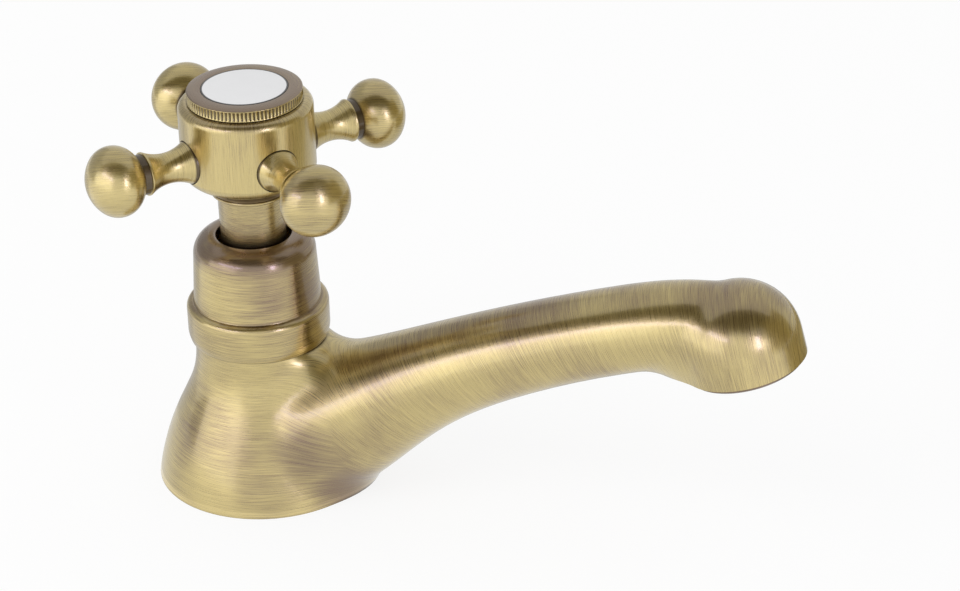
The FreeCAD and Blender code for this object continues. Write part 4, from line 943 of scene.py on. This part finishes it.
def card(name, matrix, width, height, level, tint):
    """A studio card that only the shine of the metal shows."""
    material = bpy.data.materials.new(name)
    material.use_nodes = True
    tree = material.node_tree
    tree.nodes.remove(tree.nodes["Principled BSDF"])
    n = Nodes(tree)
    glow = n.add("ShaderNodeEmission", {"Color": rgba(tint), "Strength": level})
    n.feed(tree.nodes["Material Output"].inputs["Surface"], glow.outputs[0])
    item = placed(rectangle(width, height, matrix), name, material)
    item.visible_camera = False
    item.visible_shadow = False
    item.visible_diffuse = False


WHITE, WARM, DAY = (1, 1, 1), (1.0, 0.84, 0.42), (0.74, 0.70, 1.0)

# Side and spread in degrees seen from the camera, foot and head in metres, level and tint
WALLS = (
    ("left_wall", -62, 56, 0, 0.4, 1.5, WHITE),
    ("left_upper_wall", -62, 56, 0.4, 0.76, 0.12, WARM),
    ("front_wall", -8, 52, 0, 0.6, 0.9, WHITE),
    ("front_upper_wall", -8, 52, 0.6, 0.76, 0.5, WHITE),
    ("window_wall", 35, 34, 0, 0.36, 1.1, WHITE),
    ("window_upper_wall", 35, 34, 0.36, 0.76, 0.4, WHITE),
    ("right_wall", 79, 54, 0, 0.76, 0.3, WARM),
    ("rear_right_wall", 134, 56, 0, 0.76, 0.6, WHITE),
    ("rear_wall", 180, 36, 0, 0.76, 0.65, WHITE),
    ("rear_left_wall", -126, 72, 0, 0.76, 0.42, WHITE),
)

# Place and size in metres, level and tint
FLOOR_CARDS = (
    ("near_floor", 0.01, -0.045, 0.26, 0.13, 0.78, WHITE),
    ("far_front_floor", 0.01, -0.18, 0.26, 0.14, 0.9, WHITE),
    ("left_rear_floor", -0.12, 0.22, 0.52, 0.4, 0.6, WHITE),
    ("right_rear_floor", 0.38, 0.22, 0.48, 0.4, 0.35, WARM),
)

# Distance behind the middle of the tap in metres, level and tint
CEILINGS = (("front_ceiling", -0.56, 0.13, WARM), ("rear_ceiling", 0.41, 0.62, WHITE))
CEILING_WIDTH, CEILING_DEPTH = 2.2, 0.97

# Height of the floor cards over the floor, in metres
CARD_LIFT = 0.0015

# Side and rise in degrees seen from the camera, width and height in metres, and level
REFLECTORS = (("window", 33, 18, 0.1, 0.26, 7.5), ("left_strip", -50, 26, 0.55, 0.09, 3.8))


class TAP_OT_studio(bpy.types.Operator):
    """Set up the floor, the light and the camera"""

    bl_idname = "tap.studio"
    bl_label = "Studio"

    def execute(self, context):
        studio = context.scene.tap_studio
        self.floor(studio)
        self.room(context, studio)
        self.cards(studio)
        softbox(studio, "left_softbox", -50, 48)
        self.camera(context, studio)
        return {"FINISHED"}

    def shown(self, n):
        """Where the white room shows: to the camera, in shine and through glass."""
        rays = n.add("ShaderNodeLightPath").outputs
        both = n.maths("ADD", rays["Is Camera Ray"], rays["Is Glossy Ray"])
        return n.maths("ADD", both, rays["Is Transmission Ray"], clamp=True)

    def floor(self, studio):
        """A pale floor that shows white, and keeps the tap's shadow."""
        material = bpy.data.materials.new("Floor")
        material.use_nodes = True
        tree = material.node_tree
        n = Nodes(tree)
        shader = tree.nodes["Principled BSDF"]
        shader.inputs["Base Color"].default_value = rgba(studio.floor_colour)
        shader.inputs["Roughness"].default_value = 0.9
        glow = n.add("ShaderNodeEmission", {"Color": (1, 1, 1, 1), "Strength": 1.0})
        part = n.times(self.shown(n), studio.floor_glow)
        mixed = n.add("ShaderNodeMixShader", {0: part, 1: shader.outputs[0], 2: glow.outputs[0]})
        n.feed(tree.nodes["Material Output"].inputs["Surface"], mixed.outputs[0])
        floor = placed(rectangle(studio.floor_size, studio.floor_size, Matrix()), "floor", material)

    def room(self, context, studio):
        """The white room round the tap."""
        world = bpy.data.worlds.new("Room")
        world.use_nodes = True
        context.scene.world = world
        n = Nodes(world.node_tree)
        back = world.node_tree.nodes["Background"]
        back.inputs["Color"].default_value = (1, 1, 1, 1)
        n.feed(back.inputs["Strength"], n.ramp(self.shown(n), 0.0, 1.0, studio.room_light, 1.0))

    def cards(self, studio):
        """Walls, floor cards, ceilings and reflectors, for the shine alone."""
        distance, flat = studio.wall_distance, Matrix.Rotation(studio.camera_turn, 4, "Z")
        for name, side, spread, low, high, level, tint in WALLS:
            width = 2 * distance * math.tan(math.radians(spread / 2))
            direction = studio_direction(studio, side, 0)
            middle = direction * distance + Vector((TAP_MIDDLE.x, 0, (low + high) / 2))
            card(name, Matrix.Translation(middle) @ looking_back(direction), width, high - low, level, tint)
        back = Vector((-math.sin(studio.camera_turn), math.cos(studio.camera_turn), 0))
        for name, shift, level, tint in CEILINGS:
            middle = back * shift + Vector((TAP_MIDDLE.x, 0, studio.ceiling_height))
            card(name, Matrix.Translation(middle) @ flat, CEILING_WIDTH, CEILING_DEPTH, level, tint)
        for name, x, y, width, depth, level, tint in FLOOR_CARDS:
            card(name, Matrix.Translation((x, y, CARD_LIFT)), width, depth, level, tint)
        for name, side, rise, width, height, level in REFLECTORS:
            place = facing_tap(studio, side, rise, studio.reflector_distance)
            card(name, place, width, height, level, DAY)

    def camera(self, context, studio):
        """The camera of the photo."""
        turn, drop, roll = studio.camera_turn, studio.camera_drop, studio.camera_roll
        level = Vector((-math.sin(turn), math.cos(turn), 0))
        forward = level * math.cos(drop) - Vector((0, 0, math.sin(drop)))
        right = Vector((math.cos(turn), math.sin(turn), 0))
        up = right.cross(forward)
        rolled_right = right * math.cos(roll) + up * math.sin(roll)
        rolled_up = up * math.cos(roll) - right * math.sin(roll)
        camera = bpy.data.objects.new("camera", bpy.data.cameras.new("camera"))
        context.scene.collection.objects.link(camera)
        camera.data.lens = studio.lens
        camera.data.sensor_width = 36
        camera.data.clip_start = 0.01
        axes = Matrix((rolled_right, rolled_up, -forward)).transposed()
        camera.matrix_world = Matrix.Translation(Vector(studio.camera_place)) @ axes.to_4x4()
        context.scene.camera = camera
        context.scene.view_settings.view_transform = "Standard"


class TAP_PT_panel(bpy.types.Panel):
    """The steps that finish the tap"""

    bl_idname = "TAP_PT_panel"
    bl_label = "Basin Pillar Tap"
    bl_space_type = "VIEW_3D"
    bl_region_type = "UI"
    bl_category = "Tap"

    def draw(self, context):
        for operator in OPERATORS:
            self.layout.operator(operator.bl_idname)
        for name, group in GROUPS.items():
            column = self.layout.column()
            for label in group.__annotations__:
                column.prop(getattr(context.scene, name), label)


OPERATORS = (
    TAP_OT_casting, TAP_OT_bell, TAP_OT_sleeve, TAP_OT_cross, TAP_OT_index, TAP_OT_inside, TAP_OT_studio,
)
GROUPS = {"tap_finish": TapFinish, "tap_shape": TapShape, "tap_studio": TapStudio}


def register():
    for part in (*GROUPS.values(), *OPERATORS, TAP_PT_panel):
        bpy.utils.register_class(part)
    for name, group in GROUPS.items():
        setattr(bpy.types.Scene, name, PointerProperty(type=group))


def unregister():
    for name in GROUPS:
        delattr(bpy.types.Scene, name)
    for part in reversed((*GROUPS.values(), *OPERATORS, TAP_PT_panel)):
        bpy.utils.unregister_class(part)


def main():
    register()
    bpy.ops.tap.casting()
    bpy.ops.tap.bell()
    bpy.ops.tap.sleeve()
    bpy.ops.tap.cross()
    bpy.ops.tap.index()
    bpy.ops.tap.inside()
    bpy.ops.tap.studio()


if __name__ == "__main__":
    main()
